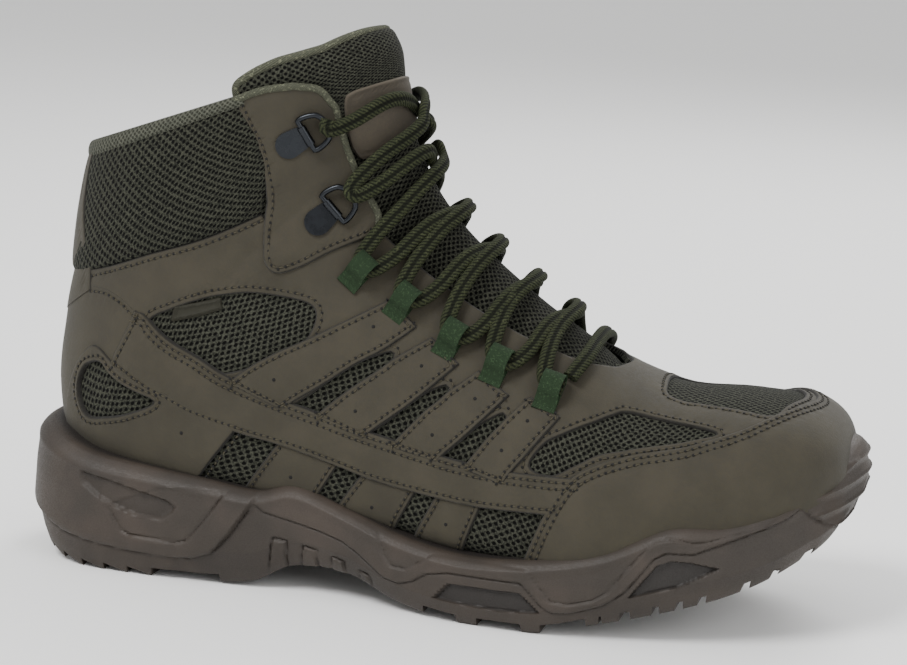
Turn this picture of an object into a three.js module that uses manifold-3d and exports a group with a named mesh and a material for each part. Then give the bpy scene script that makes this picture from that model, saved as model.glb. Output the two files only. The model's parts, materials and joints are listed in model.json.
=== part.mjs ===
import * as THREE from 'three';
import { mergeVertices } from 'three/addons/utils/BufferGeometryUtils.js';
import Module from 'manifold-3d';

// A laced ankle boot for the right foot, standing on its sole.
// Heel towards -X, toe towards +X, outer side of the foot towards -Y.

const wasm = await Module();
wasm.setup();

// Driving sizes in millimetres
const SOLE_LENGTH = 305;
const BALL_WIDTH = 96;
const HEEL_HEIGHT = 28;
const SHAFT_HEIGHT = 121;
const UPPER_WALL = 2;
const LEATHER = 1.2;
const CUFF_PADDING = 2.6;
const TONGUE_THICKNESS = 4;
const INSOLE_THICKNESS = 4;
const CLEARANCE = 0.3;
const SEAM_WIDTH = 1.2;
const SOLE_FLARE = 3.5;
const LUG_DEPTH = 4;
const RECESS_DEPTH = 2.4;
const LACE_DIAMETER = 5;
const LOOP_WIDTH = 9;
const LOOP_THICKNESS = 1.4;
const LOOP_LENGTH = 16;
const HOOK_WIDTH = 10;
const HOOK_LENGTH = 10;
const HOOK_THICKNESS = 1.2;
const RING_WIRE = 1.8;
const RING_WIDTH = 14;
const RING_REACH = 9;
const PATCH_THICKNESS = 1.2;

// Heights are shares of the shaft height above the seat of the foot.
const height = (share) => HEEL_HEIGHT + share * SHAFT_HEIGHT;

// Sections of the last, from the toe tip up to above the collar. Each is a slice from a low point under
// or behind the foot to a high point on its ridge. x is a share of the sole length, z of the shaft
// height, and the half widths are shares of the ball width. widest is how far up the slice it is
// widest, the round values say how boxy its lower and upper halves are, and drop lowers the inner side.
const SECTION_COLUMNS = ['name', 'lowX', 'lowZ', 'highX', 'highZ', 'lateral', 'medial', 'middle',
  'widest', 'lowRound', 'highRound', 'drop'];
const SECTIONS = [
  ['tip', 0.982, 0.182, 0.982, 0.182, 0, 0, 0.094, 0.45, 3, 2.2, 0],
  ['toe_round', 0.977, 0.157, 0.977, 0.281, 0.208, 0.167, 0.094, 0.45, 3, 2.6, 0],
  ['toe_front', 0.957, 0.107, 0.961, 0.364, 0.344, 0.292, 0.083, 0.45, 3.5, 2.8, 0],
  ['toe_cap', 0.918, 0.05, 0.921, 0.417, 0.438, 0.375, 0.062, 0.42, 5, 2.7, 0],
  ['toe_box', 0.856, -0.012, 0.859, 0.43, 0.5, 0.427, 0.042, 0.38, 6, 2.4, 0],
  ['vamp', 0.777, -0.062, 0.79, 0.43, 0.531, 0.448, 0.021, 0.34, 7, 2.1, 0],
  ['ball', 0.692, -0.095, 0.728, 0.479, 0.542, 0.458, 0, 0.3, 7, 1.9, 0],
  ['joint', 0.607, -0.091, 0.675, 0.57, 0.51, 0.438, 0, 0.28, 7, 1.8, 0],
  ['throat', 0.518, -0.066, 0.623, 0.653, 0.469, 0.406, 0, 0.27, 7, 1.7, 0],
  ['waist', 0.423, -0.033, 0.574, 0.744, 0.427, 0.375, 0, 0.27, 7, 1.65, 0],
  ['instep', 0.321, -0.008, 0.531, 0.835, 0.401, 0.354, 0, 0.28, 7, 1.65, 0],
  ['seat', 0.216, 0, 0.498, 0.926, 0.385, 0.354, 0, 0.3, 6, 1.7, 0],
  ['heel', 0.118, 0.008, 0.475, 1.017, 0.37, 0.344, 0, 0.34, 4.5, 1.75, 0],
  ['turn', 0.046, 0.083, 0.459, 1.107, 0.365, 0.344, 0, 0.38, 3, 1.8, 0],
  ['counter', 0.023, 0.264, 0.449, 1.182, 0.354, 0.344, 0, 0.42, 2.2, 1.9, 0.008],
  ['tendon', 0.03, 0.496, 0.443, 1.248, 0.354, 0.344, 0, 0.45, 2.1, 2, 0.017],
  ['ankle', 0.049, 0.744, 0.439, 1.306, 0.354, 0.344, 0, 0.47, 2.1, 2, 0.025],
  ['collar', 0.062, 1, 0.433, 1.355, 0.365, 0.344, 0, 0.48, 2.1, 2, 0.033],
  ['above', 0.066, 1.24, 0.416, 1.421, 0.365, 0.344, 0, 0.48, 2.1, 2, 0.033],
];
const COLLAR = 17;
const LAST_SECTION = SECTIONS.length - 1;

// Stations of the sole from heel to toe. x is a share of the sole length, the half widths are shares of
// the ball width, floor is the tread's height as a share of the heel height, and the rims are heights.
const SOLE_COLUMNS = ['name', 'x', 'lateral', 'medial', 'floor', 'rimLateral', 'rimMedial'];
const SOLE_STATIONS = [
  ['heel_end', 0, 0, 0, 0.5, 0.182, 0.182],
  ['heel_back', 0.01, 0.185, 0.165, 0.32, 0.174, 0.174],
  ['heel_turn', 0.039, 0.33, 0.31, 0.1, 0.157, 0.157],
  ['heel', 0.092, 0.415, 0.395, 0, 0.124, 0.132],
  ['seat', 0.164, 0.44, 0.42, 0, 0.103, 0.116],
  ['seat_front', 0.243, 0.445, 0.415, 0, 0.083, 0.099],
  ['arch_back', 0.311, 0.45, 0.39, 0.1, 0.066, 0.099],
  ['arch', 0.361, 0.45, 0.375, 0.36, 0.091, 0.107],
  ['arch_front', 0.426, 0.475, 0.39, 0.36, 0.041, 0.074],
  ['fore_back', 0.492, 0.525, 0.42, 0.12, -0.008, 0.025],
  ['joint', 0.57, 0.573, 0.465, 0, -0.033, -0.008],
  ['ball', 0.656, 0.594, 0.51, 0, -0.017, 0],
  ['ball_front', 0.734, 0.583, 0.521, 0.2, 0.025, 0.033],
  ['vamp', 0.807, 0.557, 0.51, 0.41, 0.107, 0.099],
  ['toe_side', 0.872, 0.495, 0.505, 0.62, 0.124, 0.124],
  ['toe_turn', 0.931, 0.4, 0.47, 0.9, 0.174, 0.174],
  ['toe_round', 0.974, 0.24, 0.35, 1.18, 0.235, 0.235],
  ['toe_front', 0.993, 0.06, 0.24, 1.42, 0.295, 0.295],
  ['toe_end', 1, -0.094, 0.094, 1.61, 0.314, 0.314],
];

// Steps of the sole's side wall. level is a share of the way from the tread to the rim, and out is
// how far it stands out, as a share of the flare.
const WALL_COLUMNS = ['name', 'level', 'out'];
const WALL_STEPS = [
  ['tread_edge', 0, -0.9],
  ['tread_top', 0.14, -0.3],
  ['lower_wall', 0.34, 0.3],
  ['upper_wall', 0.66, 0.1],
  ['rim_edge', 0.88, -0.2],
  ['rim', 1, -0.8],
];

function named(columns, rows) {
  return rows.map((row) => Object.fromEntries(columns.map((column, i) => [column, row[i]])));
}
const sections = named(SECTION_COLUMNS, SECTIONS);
const stations = named(SOLE_COLUMNS, SOLE_STATIONS);
const wallSteps = named(WALL_COLUMNS, WALL_STEPS);

// A smooth value between the rows of a table. before and after are the rows beyond its two ends.
function smoothRow(rows, before, after, place) {
  const last = rows.length - 1;
  const clamped = Math.min(Math.max(place, 0), last);
  const i = Math.min(Math.floor(clamped), last - 1);
  const t = clamped - i;
  const [a, b, c] = [i > 0 ? rows[i - 1] : before, rows[i], rows[i + 1]];
  const d = i + 2 <= last ? rows[i + 2] : after;
  const row = {};
  for (const key of Object.keys(rows[0])) {
    if (key === 'name') continue;
    row[key] = 0.5 * (2 * b[key] + (c[key] - a[key]) * t
      + (2 * a[key] - 5 * b[key] + 4 * c[key] - d[key]) * t * t
      + (3 * b[key] - a[key] - 3 * c[key] + d[key]) * t * t * t);
  }
  return row;
}

// The row before the toe tip is the next one mirrored, so that the toe closes round.
const beforeTip = { ...sections[1], lateral: -sections[1].lateral, medial: -sections[1].medial };
const beforeHeel = { ...stations[1], lateral: -stations[1].medial, medial: -stations[1].lateral };
const afterToe = (() => {
  const row = stations[stations.length - 2];
  return { ...row, lateral: -row.medial, medial: -row.lateral };
})();

// Half of one section of the last, as points evenly spaced from the bottom centre to the ridge.
const CURVE_STEPS = 48;
function halfSection(place, side, count) {
  const row = smoothRow(sections, beforeTip, sections[LAST_SECTION], place);
  const halfWidth = BALL_WIDTH * Math.max(side < 0 ? row.lateral : row.medial, 0);
  const points = [];
  const add = (along, across) => {
    const x = SOLE_LENGTH * (row.lowX + along * (row.highX - row.lowX));
    const z = height(row.lowZ + along * (row.highZ - row.lowZ));
    const dropped = side > 0 ? SHAFT_HEIGHT * row.drop * across : 0;
    points.push(new THREE.Vector3(x, BALL_WIDTH * row.middle + side * halfWidth * across, z - dropped));
  };
  for (let k = 0; k <= CURVE_STEPS; k++) {
    const angle = (k / CURVE_STEPS) * Math.PI / 2;
    add(row.widest * (1 - Math.cos(angle) ** (2 / row.lowRound)), Math.sin(angle));
  }
  for (let k = 1; k <= CURVE_STEPS; k++) {
    const angle = (k / CURVE_STEPS) * Math.PI / 2;
    const rise = Math.sin(angle) ** (2 / row.highRound);
    add(row.widest + (1 - row.widest) * rise, Math.cos(angle));
  }
  const lengths = [0];
  for (let k = 1; k < points.length; k++) lengths.push(lengths[k - 1] + points[k].distanceTo(points[k - 1]));
  const total = lengths[lengths.length - 1];
  const even = [];
  let k = 0;
  for (let n = 0; n <= count; n++) {
    const wanted = (n / count) * total;
    while (k < points.length - 2 && lengths[k + 1] < wanted) k++;
    const span = Math.max(lengths[k + 1] - lengths[k], 1e-9);
    even.push(points[k].clone().lerp(points[k + 1], Math.min((wanted - lengths[k]) / span, 1)));
  }
  return even;
}

// The last as a net of points with outward normals. Columns run once round, from the bottom centre up
// the outer side to the ridge and down the inner side. Where the form turns fast, at the toe and the
// heel, a row lies halfway between each two sections.
const TURNING = [[0, 4], [12, 14]];
const HALF_GIRTH = 9;
const COLUMNS = 2 * HALF_GIRTH;
const places = [];
for (let n = 0; n <= LAST_SECTION; n++) {
  places.push(n);
  if (TURNING.some(([start, end]) => n >= start && n < end)) places.push(n + 0.5);
}
const ROWS = places.length - 1;
const net = places.map((place) => {
  const outer = halfSection(place, -1, HALF_GIRTH);
  const inner = halfSection(place, 1, HALF_GIRTH);
  return [...outer, ...inner.reverse().slice(1, HALF_GIRTH)];
});
const normals = net.map((row, i) => row.map((point, j) => {
  const along = net[Math.min(i + 1, ROWS)][j].clone().sub(net[Math.max(i - 1, 0)][j]);
  const round = row[(j + 1) % COLUMNS].clone().sub(row[(j + COLUMNS - 1) % COLUMNS]);
  return round.cross(along).normalize();
}));
normals[0] = normals[0].map(() => new THREE.Vector3(1, 0, 0));
const netPoint = (i, j, offset) => {
  const column = ((j % COLUMNS) + COLUMNS) % COLUMNS;
  return net[i][column].clone().addScaledVector(normals[i][column], offset);
};

// A closed solid from points and triangles, with doubled points merged and flat triangles dropped.
function solidFrom(points, triangles) {
  const geometry = new THREE.BufferGeometry();
  const numbers = points.flatMap((p) => [p.x, p.y, p.z]);
  geometry.setAttribute('position', new THREE.Float32BufferAttribute(numbers, 3));
  geometry.setIndex(triangles.flat());
  return solidOf(geometry);
}

function mergedGeometry(geometry, tolerance) {
  const bare = geometry.clone();
  bare.deleteAttribute('normal');
  bare.deleteAttribute('uv');
  const merged = mergeVertices(bare, tolerance);
  const index = merged.index.array;
  const kept = [];
  for (let t = 0; t < index.length; t += 3) {
    const [a, b, c] = [index[t], index[t + 1], index[t + 2]];
    if (a !== b && b !== c && c !== a) kept.push(a, b, c);
  }
  merged.setIndex(kept);
  return merged;
}

function solidOf(geometry) {
  const merged = mergedGeometry(geometry, 1e-4);
  return new wasm.Manifold(new wasm.Mesh({
    numProp: 3,
    vertProperties: Float32Array.from(merged.attributes.position.array),
    triVerts: Uint32Array.from(merged.index.array),
  }));
}

// The last grown by an offset, as a closed solid up to one of its sections.
function lastSolid(offset, topSection) {
  const top = places.indexOf(topSection);
  const points = [];
  const triangles = [];
  for (let i = 0; i <= top; i++) for (let j = 0; j < COLUMNS; j++) points.push(netPoint(i, j, offset));
  const at = (i, j) => i * COLUMNS + (j % COLUMNS);
  for (let i = 0; i < top; i++) {
    for (let j = 0; j < COLUMNS; j++) {
      triangles.push([at(i, j), at(i, j + 1), at(i + 1, j + 1)], [at(i, j), at(i + 1, j + 1), at(i + 1, j)]);
    }
  }
  const centre = points.slice(top * COLUMNS).reduce((sum, p) => sum.add(p), new THREE.Vector3());
  points.push(centre.divideScalar(COLUMNS));
  for (let j = 0; j < COLUMNS; j++) triangles.push([at(top, j), at(top, j + 1), points.length - 1]);
  return solidFrom(points, triangles);
}

// A pattern is cut flat and then laid on the last. Flat, a section is PATTERN_ROW long, a whole round
// is PATTERN_GIRTH wide, and the sheet is bowed a little so that its facets stay apart when it is cut.
const PATTERN_ROW = 20;
const PATTERN_GIRTH = 300;
const BOW = 0.001;
const flatPoint = (section, girth) => new THREE.Vector2(section * PATTERN_ROW, girth / 2 * PATTERN_GIRTH);
const bowed = (x, y) => BOW * (x * x + y * y + x * y);

function layOnLast(x, y, z) {
  const section = THREE.MathUtils.clamp(x / PATTERN_ROW, 0, LAST_SECTION);
  const column = y / PATTERN_GIRTH * COLUMNS;
  const i = Math.min(places.findLastIndex((place) => place <= section), ROWS - 1);
  const j = Math.floor(column);
  const [s, t] = [(section - places[i]) / (places[i + 1] - places[i]), column - j];
  const corners = t > s
    ? [[i, j, 1 - t], [i, j + 1, t - s], [i + 1, j + 1, s]]
    : [[i, j, 1 - s], [i + 1, j, s - t], [i + 1, j + 1, t]];
  const bow = (a, b) => bowed(places[a] * PATTERN_ROW, b / COLUMNS * PATTERN_GIRTH);
  const offset = z - corners.reduce((sum, [a, b, weight]) => sum + weight * bow(a, b), 0);
  const point = new THREE.Vector3();
  for (const [a, b, weight] of corners) point.addScaledVector(netPoint(a, b, offset), weight);
  return point;
}

// A prism that stands on a flat outline and passes through the whole sheet.
const SHEET_REACH = 600;
function flatPrism(outline) {
  const shape = new THREE.Shape(outline);
  const geometry = new THREE.ExtrudeGeometry(shape, { depth: 2 * SHEET_REACH, bevelEnabled: false });
  geometry.translate(0, 0, -SHEET_REACH);
  return solidOf(geometry);
}

// The gap along a sewn seam, as a narrow band on each stretch of the line.
function seamGap(line) {
  const pieces = [];
  for (let k = 0; k + 1 < line.length; k++) {
    const along = line[k + 1].clone().sub(line[k]).normalize().multiplyScalar(SEAM_WIDTH / 2);
    const across = new THREE.Vector2(-along.y, along.x);
    const [start, end] = [line[k].clone().sub(along), line[k + 1].clone().add(along)];
    pieces.push(flatPrism([start.clone().sub(across), end.clone().sub(across),
      end.clone().add(across), start.clone().add(across)]));
  }
  return pieces;
}

// The flat sheet under an outline, from one offset above the last to another.
function flatSheet(outline, low, high) {
  const box = new THREE.Box2().setFromPoints(outline);
  const cellY = PATTERN_GIRTH / COLUMNS;
  const firstRow = Math.max(places.findLastIndex((place) => place * PATTERN_ROW < box.min.x + 1e-6), 0);
  const farEnd = Math.min(box.max.x, LAST_SECTION * PATTERN_ROW) - 1e-6;
  const lastRow = places.findIndex((place) => place * PATTERN_ROW > farEnd);
  const firstColumn = Math.floor(box.min.y / cellY + 1e-6);
  const lastColumn = Math.ceil(box.max.y / cellY - 1e-6);
  const width = lastColumn - firstColumn + 1;
  const points = [];
  const triangles = [];
  for (const offset of [low, high]) {
    for (let i = firstRow; i <= lastRow; i++) {
      for (let j = firstColumn; j <= lastColumn; j++) {
        const [x, y] = [places[i] * PATTERN_ROW, j * cellY];
        points.push(new THREE.Vector3(x, y, offset + bowed(x, y)));
      }
    }
  }
  const layer = points.length / 2;
  const rows = lastRow - firstRow;
  const at = (i, j) => i * width + j;
  for (let i = 0; i < rows; i++) {
    for (let j = 0; j < width - 1; j++) {
      const [a, b, c, d] = [at(i, j), at(i, j + 1), at(i + 1, j + 1), at(i + 1, j)];
      triangles.push([a, b, c], [a, c, d]);
      triangles.push([layer + a, layer + c, layer + b], [layer + a, layer + d, layer + c]);
    }
  }
  const wall = (a, b) => triangles.push([a, b, layer + b], [a, layer + b, layer + a]);
  for (let i = 0; i < rows; i++) {
    wall(at(i, 0), at(i + 1, 0));
    wall(at(i + 1, width - 1), at(i, width - 1));
  }
  for (let j = 0; j < width - 1; j++) {
    wall(at(0, j + 1), at(0, j));
    wall(at(rows, j), at(rows, j + 1));
  }
  return solidFrom(points, triangles);
}

// A pattern piece: a sheet cut to its outline, with holes and seam gaps, laid on the last.
function patternPiece(outline, low, high, holes = [], seams = []) {
  let sheet = flatSheet(outline, low, high).intersect(flatPrism(outline));
  for (const hole of holes) sheet = sheet.subtract(flatPrism(hole));
  for (const gap of seams.flatMap(seamGap)) sheet = sheet.subtract(gap);
  const mesh = sheet.getMesh();
  const points = [];
  for (let v = 0; v < mesh.vertProperties.length; v += 3) {
    points.push(layOnLast(...mesh.vertProperties.slice(v, v + 3)));
  }
  const triangles = [];
  for (let t = 0; t < mesh.triVerts.length; t += 3) {
    triangles.push([mesh.triVerts[t], mesh.triVerts[t + 2], mesh.triVerts[t + 1]]);
  }
  return solidFrom(points, triangles);
}

// Lines of the pattern, as pairs of section number and girth. Girth is 0 at the bottom centre and 1
// on the ridge, and below 0 or above 1 on the inner side.
const LASTING_EDGE = [[1.5, 0.14], [3, 0.21], [6, 0.22], [8, 0.18], [10, 0.14], [12, 0.11], [12.7, 0.07]];
const INSOLE_EDGE = [[2, 0.18], [2.6, 0.26], [4, 0.3], [6, 0.3], [8, 0.25], [10, 0.19], [12, 0.15],
  [12.8, 0.09]];
const TONGUE_EDGE = [[18, 1], [17.95, 0.9], [17.6, 0.76], [17.5, 0.64], [17.35, 0.56], [17, 0.55], [15, 0.6],
  [12.5, 0.66], [9, 0.7], [7, 0.76], [6.3, 0.86], [6, 1]];
const PATCH_EDGE = [[17, 1], [16.9, 0.88], [14.6, 0.88], [14.4, 0.91], [14.3, 1]];
const THROAT_TOP = [[17, 0.68], [16.7, 0.73], [16, 0.78], [14, 0.82], [12, 0.83], [11.5, 0.83]];
const THROAT_SIDE = [[9, 0.82], [7, 0.84]];
const THROAT_END = [[6.4, 0.9], [6.15, 1]];
const TOE_CAP_SIDE = [[6.85, 0.05], [6.55, 0.42], [6.52, 0.48]];
const TOE_CAP_TOP = [[6.4, 0.55], [5.83, 0.63], [4.57, 0.68], [3.8, 0.72], [3.2, 0.8], [2.8, 0.9], [2.7, 1]];
const BAND_TOP = [[13.8, 0.37], [12.7, 0.43], [10.5, 0.45], [9.4, 0.46], [8.3, 0.49], [7.22, 0.53]];
const BAND_LOW = [[12.4, 0.33], [11, 0.34], [9.5, 0.36], [8.9, 0.36], [8.1, 0.4], [7.5, 0.42]];
const COUNTER_TOP = [[15.25, 0.13], [14.8, 0.27]];
const COUNTER_FRONT = [[14.15, 0.33], [13.9, 0.32], [13.57, 0.28]];
const CUFF_BACK = [[15.42, 0.1], [15.2, 0.23], [14.9, 0.36], [14.45, 0.5]];
const CUFF_CORNER = [[14.25, 0.62]];
const CUFF_FRONT = [[14.4, 0.645], [15.7, 0.61], [16.5, 0.57], [17, 0.547]];
const FLAP_LOW = [[13.6, 0.645], [12.95, 0.625], [12.55, 0.64], [12.1, 0.74]];
const VAMP_BACK = [[7, 0.64], [6.95, 0.84]];

const UPPER_WINDOW = [[13.6, 0.4], [13.5, 0.45], [13.1, 0.53], [12.65, 0.58], [12.1, 0.62], [11.6, 0.64],
  [11.2, 0.61], [11.2, 0.56], [11.5, 0.51], [11.9, 0.47], [12.7, 0.455], [13.25, 0.42]];
const SLOT_WINDOWS = [
  [[10.58, 0.475], [10.38, 0.53], [9.85, 0.63], [9.7, 0.62], [9.98, 0.55], [10.25, 0.48]],
  [[9.33, 0.49], [9.15, 0.54], [8.83, 0.62], [8.66, 0.61], [8.83, 0.53], [9.03, 0.49]],
  [[8.23, 0.515], [8.1, 0.55], [7.77, 0.64], [7.63, 0.62], [7.75, 0.58], [7.92, 0.515]],
];
const VAMP_WINDOW = [[6.9, 0.58], [6.8, 0.64], [6.4, 0.7], [5.75, 0.77], [4.85, 0.76], [4.2, 0.73],
  [4.6, 0.7], [5.8, 0.655], [6.15, 0.61], [6.4, 0.585]];
const TOE_WINDOW = [[5.25, 1], [5.25, 0.93], [5.1, 0.87], [4.6, 0.85], [3.9, 0.81], [3.45, 0.8],
  [3.2, 0.88], [3, 1]];
const HEEL_WINDOW = [[13.7, 0.23], [13.85, 0.19], [13.7, 0.165], [13.45, 0.165], [13.15, 0.18], [12.9, 0.22],
  [12.55, 0.3], [13, 0.285], [13.45, 0.26]];
const LOWER_TABS = [
  { name: 'back', corners: [[10.4, 0.37], [9.55, 0.38], [9.58, 0.05], [10.4, 0.05]] },
  { name: 'middle', corners: [[9.17, 0.38], [8.4, 0.41], [8.5, 0.08], [9.3, 0.08]] },
  { name: 'front', corners: [[8.12, 0.42], [7.5, 0.44], [7.53, 0.1], [8.23, 0.1]] },
];

// Where the lace runs through its loops and rings, from the bottom pair to the top one.
const LOOP_PLACES = [[7.13, 0.74], [8.15, 0.74], [9.07, 0.74], [10.18, 0.75], [11.3, 0.75]];
const HOOK_PLACES = [[12.85, 0.77], [15.2, 0.73]];

const reversed = (line) => [...line].reverse();
const innerSide = (line) => line.map(([section, girth]) => [section, 2 - girth]);
const innerBack = (line) => line.map(([section, girth]) => [section, -girth]);
const flat = (line) => line.map(([section, girth]) => flatPoint(section, girth));
const acrossRidge = (line) => flat([...line, ...reversed(innerSide(line))]);
const acrossBack = (line) => flat([...line, ...reversed(innerBack(line))]);
const onSide = (line, side) => flat(side < 0 ? line : innerSide(line));

const materials = {
  rubber: new THREE.MeshStandardMaterial({ color: 0x4a413a, roughness: 0.75, metalness: 0 }),
  mesh: new THREE.MeshStandardMaterial({ color: 0x35382f, roughness: 0.95, metalness: 0 }),
  leather: new THREE.MeshStandardMaterial({ color: 0x574e42, roughness: 0.7, metalness: 0 }),
  lining: new THREE.MeshStandardMaterial({ color: 0x3c3f38, roughness: 0.95, metalness: 0 }),
  lace: new THREE.MeshStandardMaterial({ color: 0x46502f, roughness: 0.9, metalness: 0 }),
  webbing: new THREE.MeshStandardMaterial({ color: 0x3f5e3a, roughness: 0.9, metalness: 0 }),
  metal: new THREE.MeshStandardMaterial({ color: 0x3a3f4a, roughness: 0.3, metalness: 1 }),
};

const boot = new THREE.Group();
function addPiece(name, solid, material) {
  const { vertProperties, triVerts } = solid.getMesh();
  const geometry = new THREE.BufferGeometry();
  geometry.setAttribute('position', new THREE.BufferAttribute(Float32Array.from(vertProperties), 3));
  geometry.setIndex(new THREE.BufferAttribute(Uint32Array.from(triVerts), 1));
  const merged = mergedGeometry(geometry, 2e-3);
  merged.computeVertexNormals();
  const mesh = new THREE.Mesh(merged, material);
  mesh.name = name;
  boot.add(mesh);
}

// The sole's outer form: rings of points round the foot at each step of the wall.
const STATION_STEPS = 20;
const endFlare = SOLE_FLARE * Math.max(...wallSteps.map((step) => step.out));
const soleRow = (place) => smoothRow(stations, beforeHeel, afterToe, place);
function floorHeight(x) {
  const share = THREE.MathUtils.clamp(x / SOLE_LENGTH, 0, 1);
  let k = 0;
  while (k < stations.length - 2 && stations[k + 1].x < share) k++;
  const row = soleRow(k + (share - stations[k].x) / (stations[k + 1].x - stations[k].x));
  return Math.max(row.floor, 0) * HEEL_HEIGHT;
}

function soleForm(growth, rise = growth) {
  const outline = [];
  const addStation = (n, side) => {
    const row = soleRow(n / STATION_STEPS * (stations.length - 1));
    const half = side < 0 ? row.lateral : row.medial;
    const x = THREE.MathUtils.lerp(endFlare, SOLE_LENGTH - endFlare, THREE.MathUtils.clamp(row.x, 0, 1));
    const rim = height(side < 0 ? row.rimLateral : row.rimMedial);
    outline.push({ x, y: side * half * BALL_WIDTH, floor: Math.max(row.floor, 0) * HEEL_HEIGHT, rim });
  };
  for (let n = 0; n <= STATION_STEPS; n++) addStation(n, -1);
  for (let n = STATION_STEPS - 1; n > 0; n--) addStation(n, 1);
  const count = outline.length;
  const points = [];
  for (const step of wallSteps) {
    for (let n = 0; n < count; n++) {
      const [before, here, after] = [outline[(n + count - 1) % count], outline[n], outline[(n + 1) % count]];
      const normal = new THREE.Vector2(after.y - before.y, before.x - after.x).normalize();
      const out = step.out * SOLE_FLARE + growth;
      const raised = step.level === 1 ? rise : step.level === 0 ? -rise : 0;
      const z = here.floor + step.level * (here.rim - here.floor) + raised;
      points.push(new THREE.Vector3(here.x + normal.x * out, here.y + normal.y * out, z));
    }
  }
  const triangles = [];
  const at = (ring, n) => ring * count + (n % count);
  for (let ring = 0; ring + 1 < wallSteps.length; ring++) {
    for (let n = 0; n < count; n++) {
      triangles.push([at(ring, n), at(ring, n + 1), at(ring + 1, n + 1)],
        [at(ring, n), at(ring + 1, n + 1), at(ring + 1, n)]);
    }
  }
  const top = wallSteps.length - 1;
  for (let n = 0; n < STATION_STEPS; n++) {
    const [a, b, c, d] = [n, n + 1, count - n - 1, count - n];
    triangles.push([at(0, a), at(0, c), at(0, b)], [at(0, a), at(0, d), at(0, c)]);
    triangles.push([at(top, a), at(top, b), at(top, c)], [at(top, a), at(top, c), at(top, d)]);
  }
  return solidFrom(points, triangles);
}

// A prism across the boot under a side view outline. side is -1 for the outer side, 1 for the inner
// side and 0 for both.
function sidePrism(outline, side) {
  const depth = side === 0 ? 2 * BALL_WIDTH : BALL_WIDTH;
  const geometry = new THREE.ExtrudeGeometry(new THREE.Shape(outline), { depth, bevelEnabled: false });
  geometry.rotateX(Math.PI / 2);
  if (side >= 0) geometry.translate(0, BALL_WIDTH, 0);
  return solidOf(geometry);
}

// The largest body of a solid, without the slivers that a cut leaves.
const larger = (best, body) => (body.volume() > best.volume() ? body : best);
const mainBody = (solid) => solid.decompose().reduce(larger);

// Grooves across the tread, between its lugs: centre as a share of the sole length, and width.
const LUG_GROOVES = [[0.062, 2.5], [0.095, 2.5], [0.128, 2.5], [0.16, 2.5], [0.545, 5], [0.62, 10],
  [0.692, 9], [0.762, 4], [0.798, 4], [0.84, 4], [0.89, 4], [0.94, 4]];
const GROOVE_FLARE = 0.8;
function lugGroove(centre, width) {
  const x = centre * SOLE_LENGTH;
  const floor = floorHeight(x);
  const half = width / 2;
  const slope = (floorHeight(x + half) - floorHeight(x - half)) / 2;
  const outline = [
    new THREE.Vector2(x - half - GROOVE_FLARE, floor - slope - LUG_DEPTH),
    new THREE.Vector2(x + half + GROOVE_FLARE, floor + slope - LUG_DEPTH),
    new THREE.Vector2(x + half, floor + slope + LUG_DEPTH),
    new THREE.Vector2(x - half, floor - slope + LUG_DEPTH),
  ];
  return sidePrism(outline, 0);
}

// A channel along the tread, between two places on the sole length, off the centre line by a share of
// the ball width.
const CHANNEL_WIDTH = 4;
const CHANNEL_STEPS = 6;
const LUG_CHANNELS = [[0.05, 0.27, -0.16, -0.16], [0.52, 0.95, -0.22, -0.06], [0.52, 0.95, 0.14, 0.22]];
function lugChannel(start, end, startY, endY) {
  const points = [];
  const triangles = [];
  for (let n = 0; n <= CHANNEL_STEPS; n++) {
    const t = n / CHANNEL_STEPS;
    const x = THREE.MathUtils.lerp(start, end, t) * SOLE_LENGTH;
    const y = THREE.MathUtils.lerp(startY, endY, t) * BALL_WIDTH;
    const floor = floorHeight(x);
    for (const [dy, dz] of [[-1, -1], [1, -1], [1, 1], [-1, 1]]) {
      points.push(new THREE.Vector3(x, y + dy * CHANNEL_WIDTH / 2, floor + dz * LUG_DEPTH));
    }
  }
  for (let n = 0; n < CHANNEL_STEPS; n++) {
    for (let k = 0; k < 4; k++) {
      const [a, b] = [4 * n + k, 4 * n + (k + 1) % 4];
      triangles.push([a, a + 4, b + 4], [a, b + 4, b]);
    }
  }
  const end0 = 4 * CHANNEL_STEPS;
  triangles.push([0, 1, 2], [0, 2, 3], [end0, end0 + 2, end0 + 1], [end0, end0 + 3, end0 + 2]);
  const solid = solidFrom(points, triangles);
  return solid.volume() < 0 ? solidFrom(points, triangles.map(([a, b, c]) => [a, c, b])) : solid;
}

// Recesses in the side of the sole. A corner is a share of the sole length and of the wall's height.
const SIDE_RECESSES = [
  { name: 'heel_wedge', corners: [[0.105, 0.8], [0.21, 0.76], [0.216, 0.7], [0.2, 0.58], [0.134, 0.64]] },
  { name: 'arch_rib_back', corners: [[0.334, -0.3], [0.334, 0.36], [0.354, 0.36], [0.348, -0.3]] },
  { name: 'arch_rib_middle', corners: [[0.373, -0.3], [0.377, 0.32], [0.391, 0.3], [0.391, -0.3]] },
  { name: 'arch_rib_front', corners: [[0.41, -0.3], [0.414, 0.28], [0.424, 0.24], [0.427, -0.3]] },
  { name: 'ball_recess', corners: [[0.551, 0.36], [0.564, 0.6], [0.646, 0.58], [0.666, 0.36], [0.62, 0.32]] },
  { name: 'toe_recess', corners: [[0.767, 0.3], [0.797, 0.72], [0.826, 0.74], [0.859, 0.5], [0.816, 0.3]] },
];
const BUMPER_RIBS = [0.25, 0.47, 0.69];
const RIB_HEIGHT = 0.07;
function sidePlace([x, level]) {
  let k = 0;
  while (k < stations.length - 2 && stations[k + 1].x < x) k++;
  const row = soleRow(k + (x - stations[k].x) / (stations[k + 1].x - stations[k].x));
  const floor = Math.max(row.floor, 0) * HEEL_HEIGHT;
  return new THREE.Vector2(x * SOLE_LENGTH, floor + level * (height(row.rimLateral) - floor));
}

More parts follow.
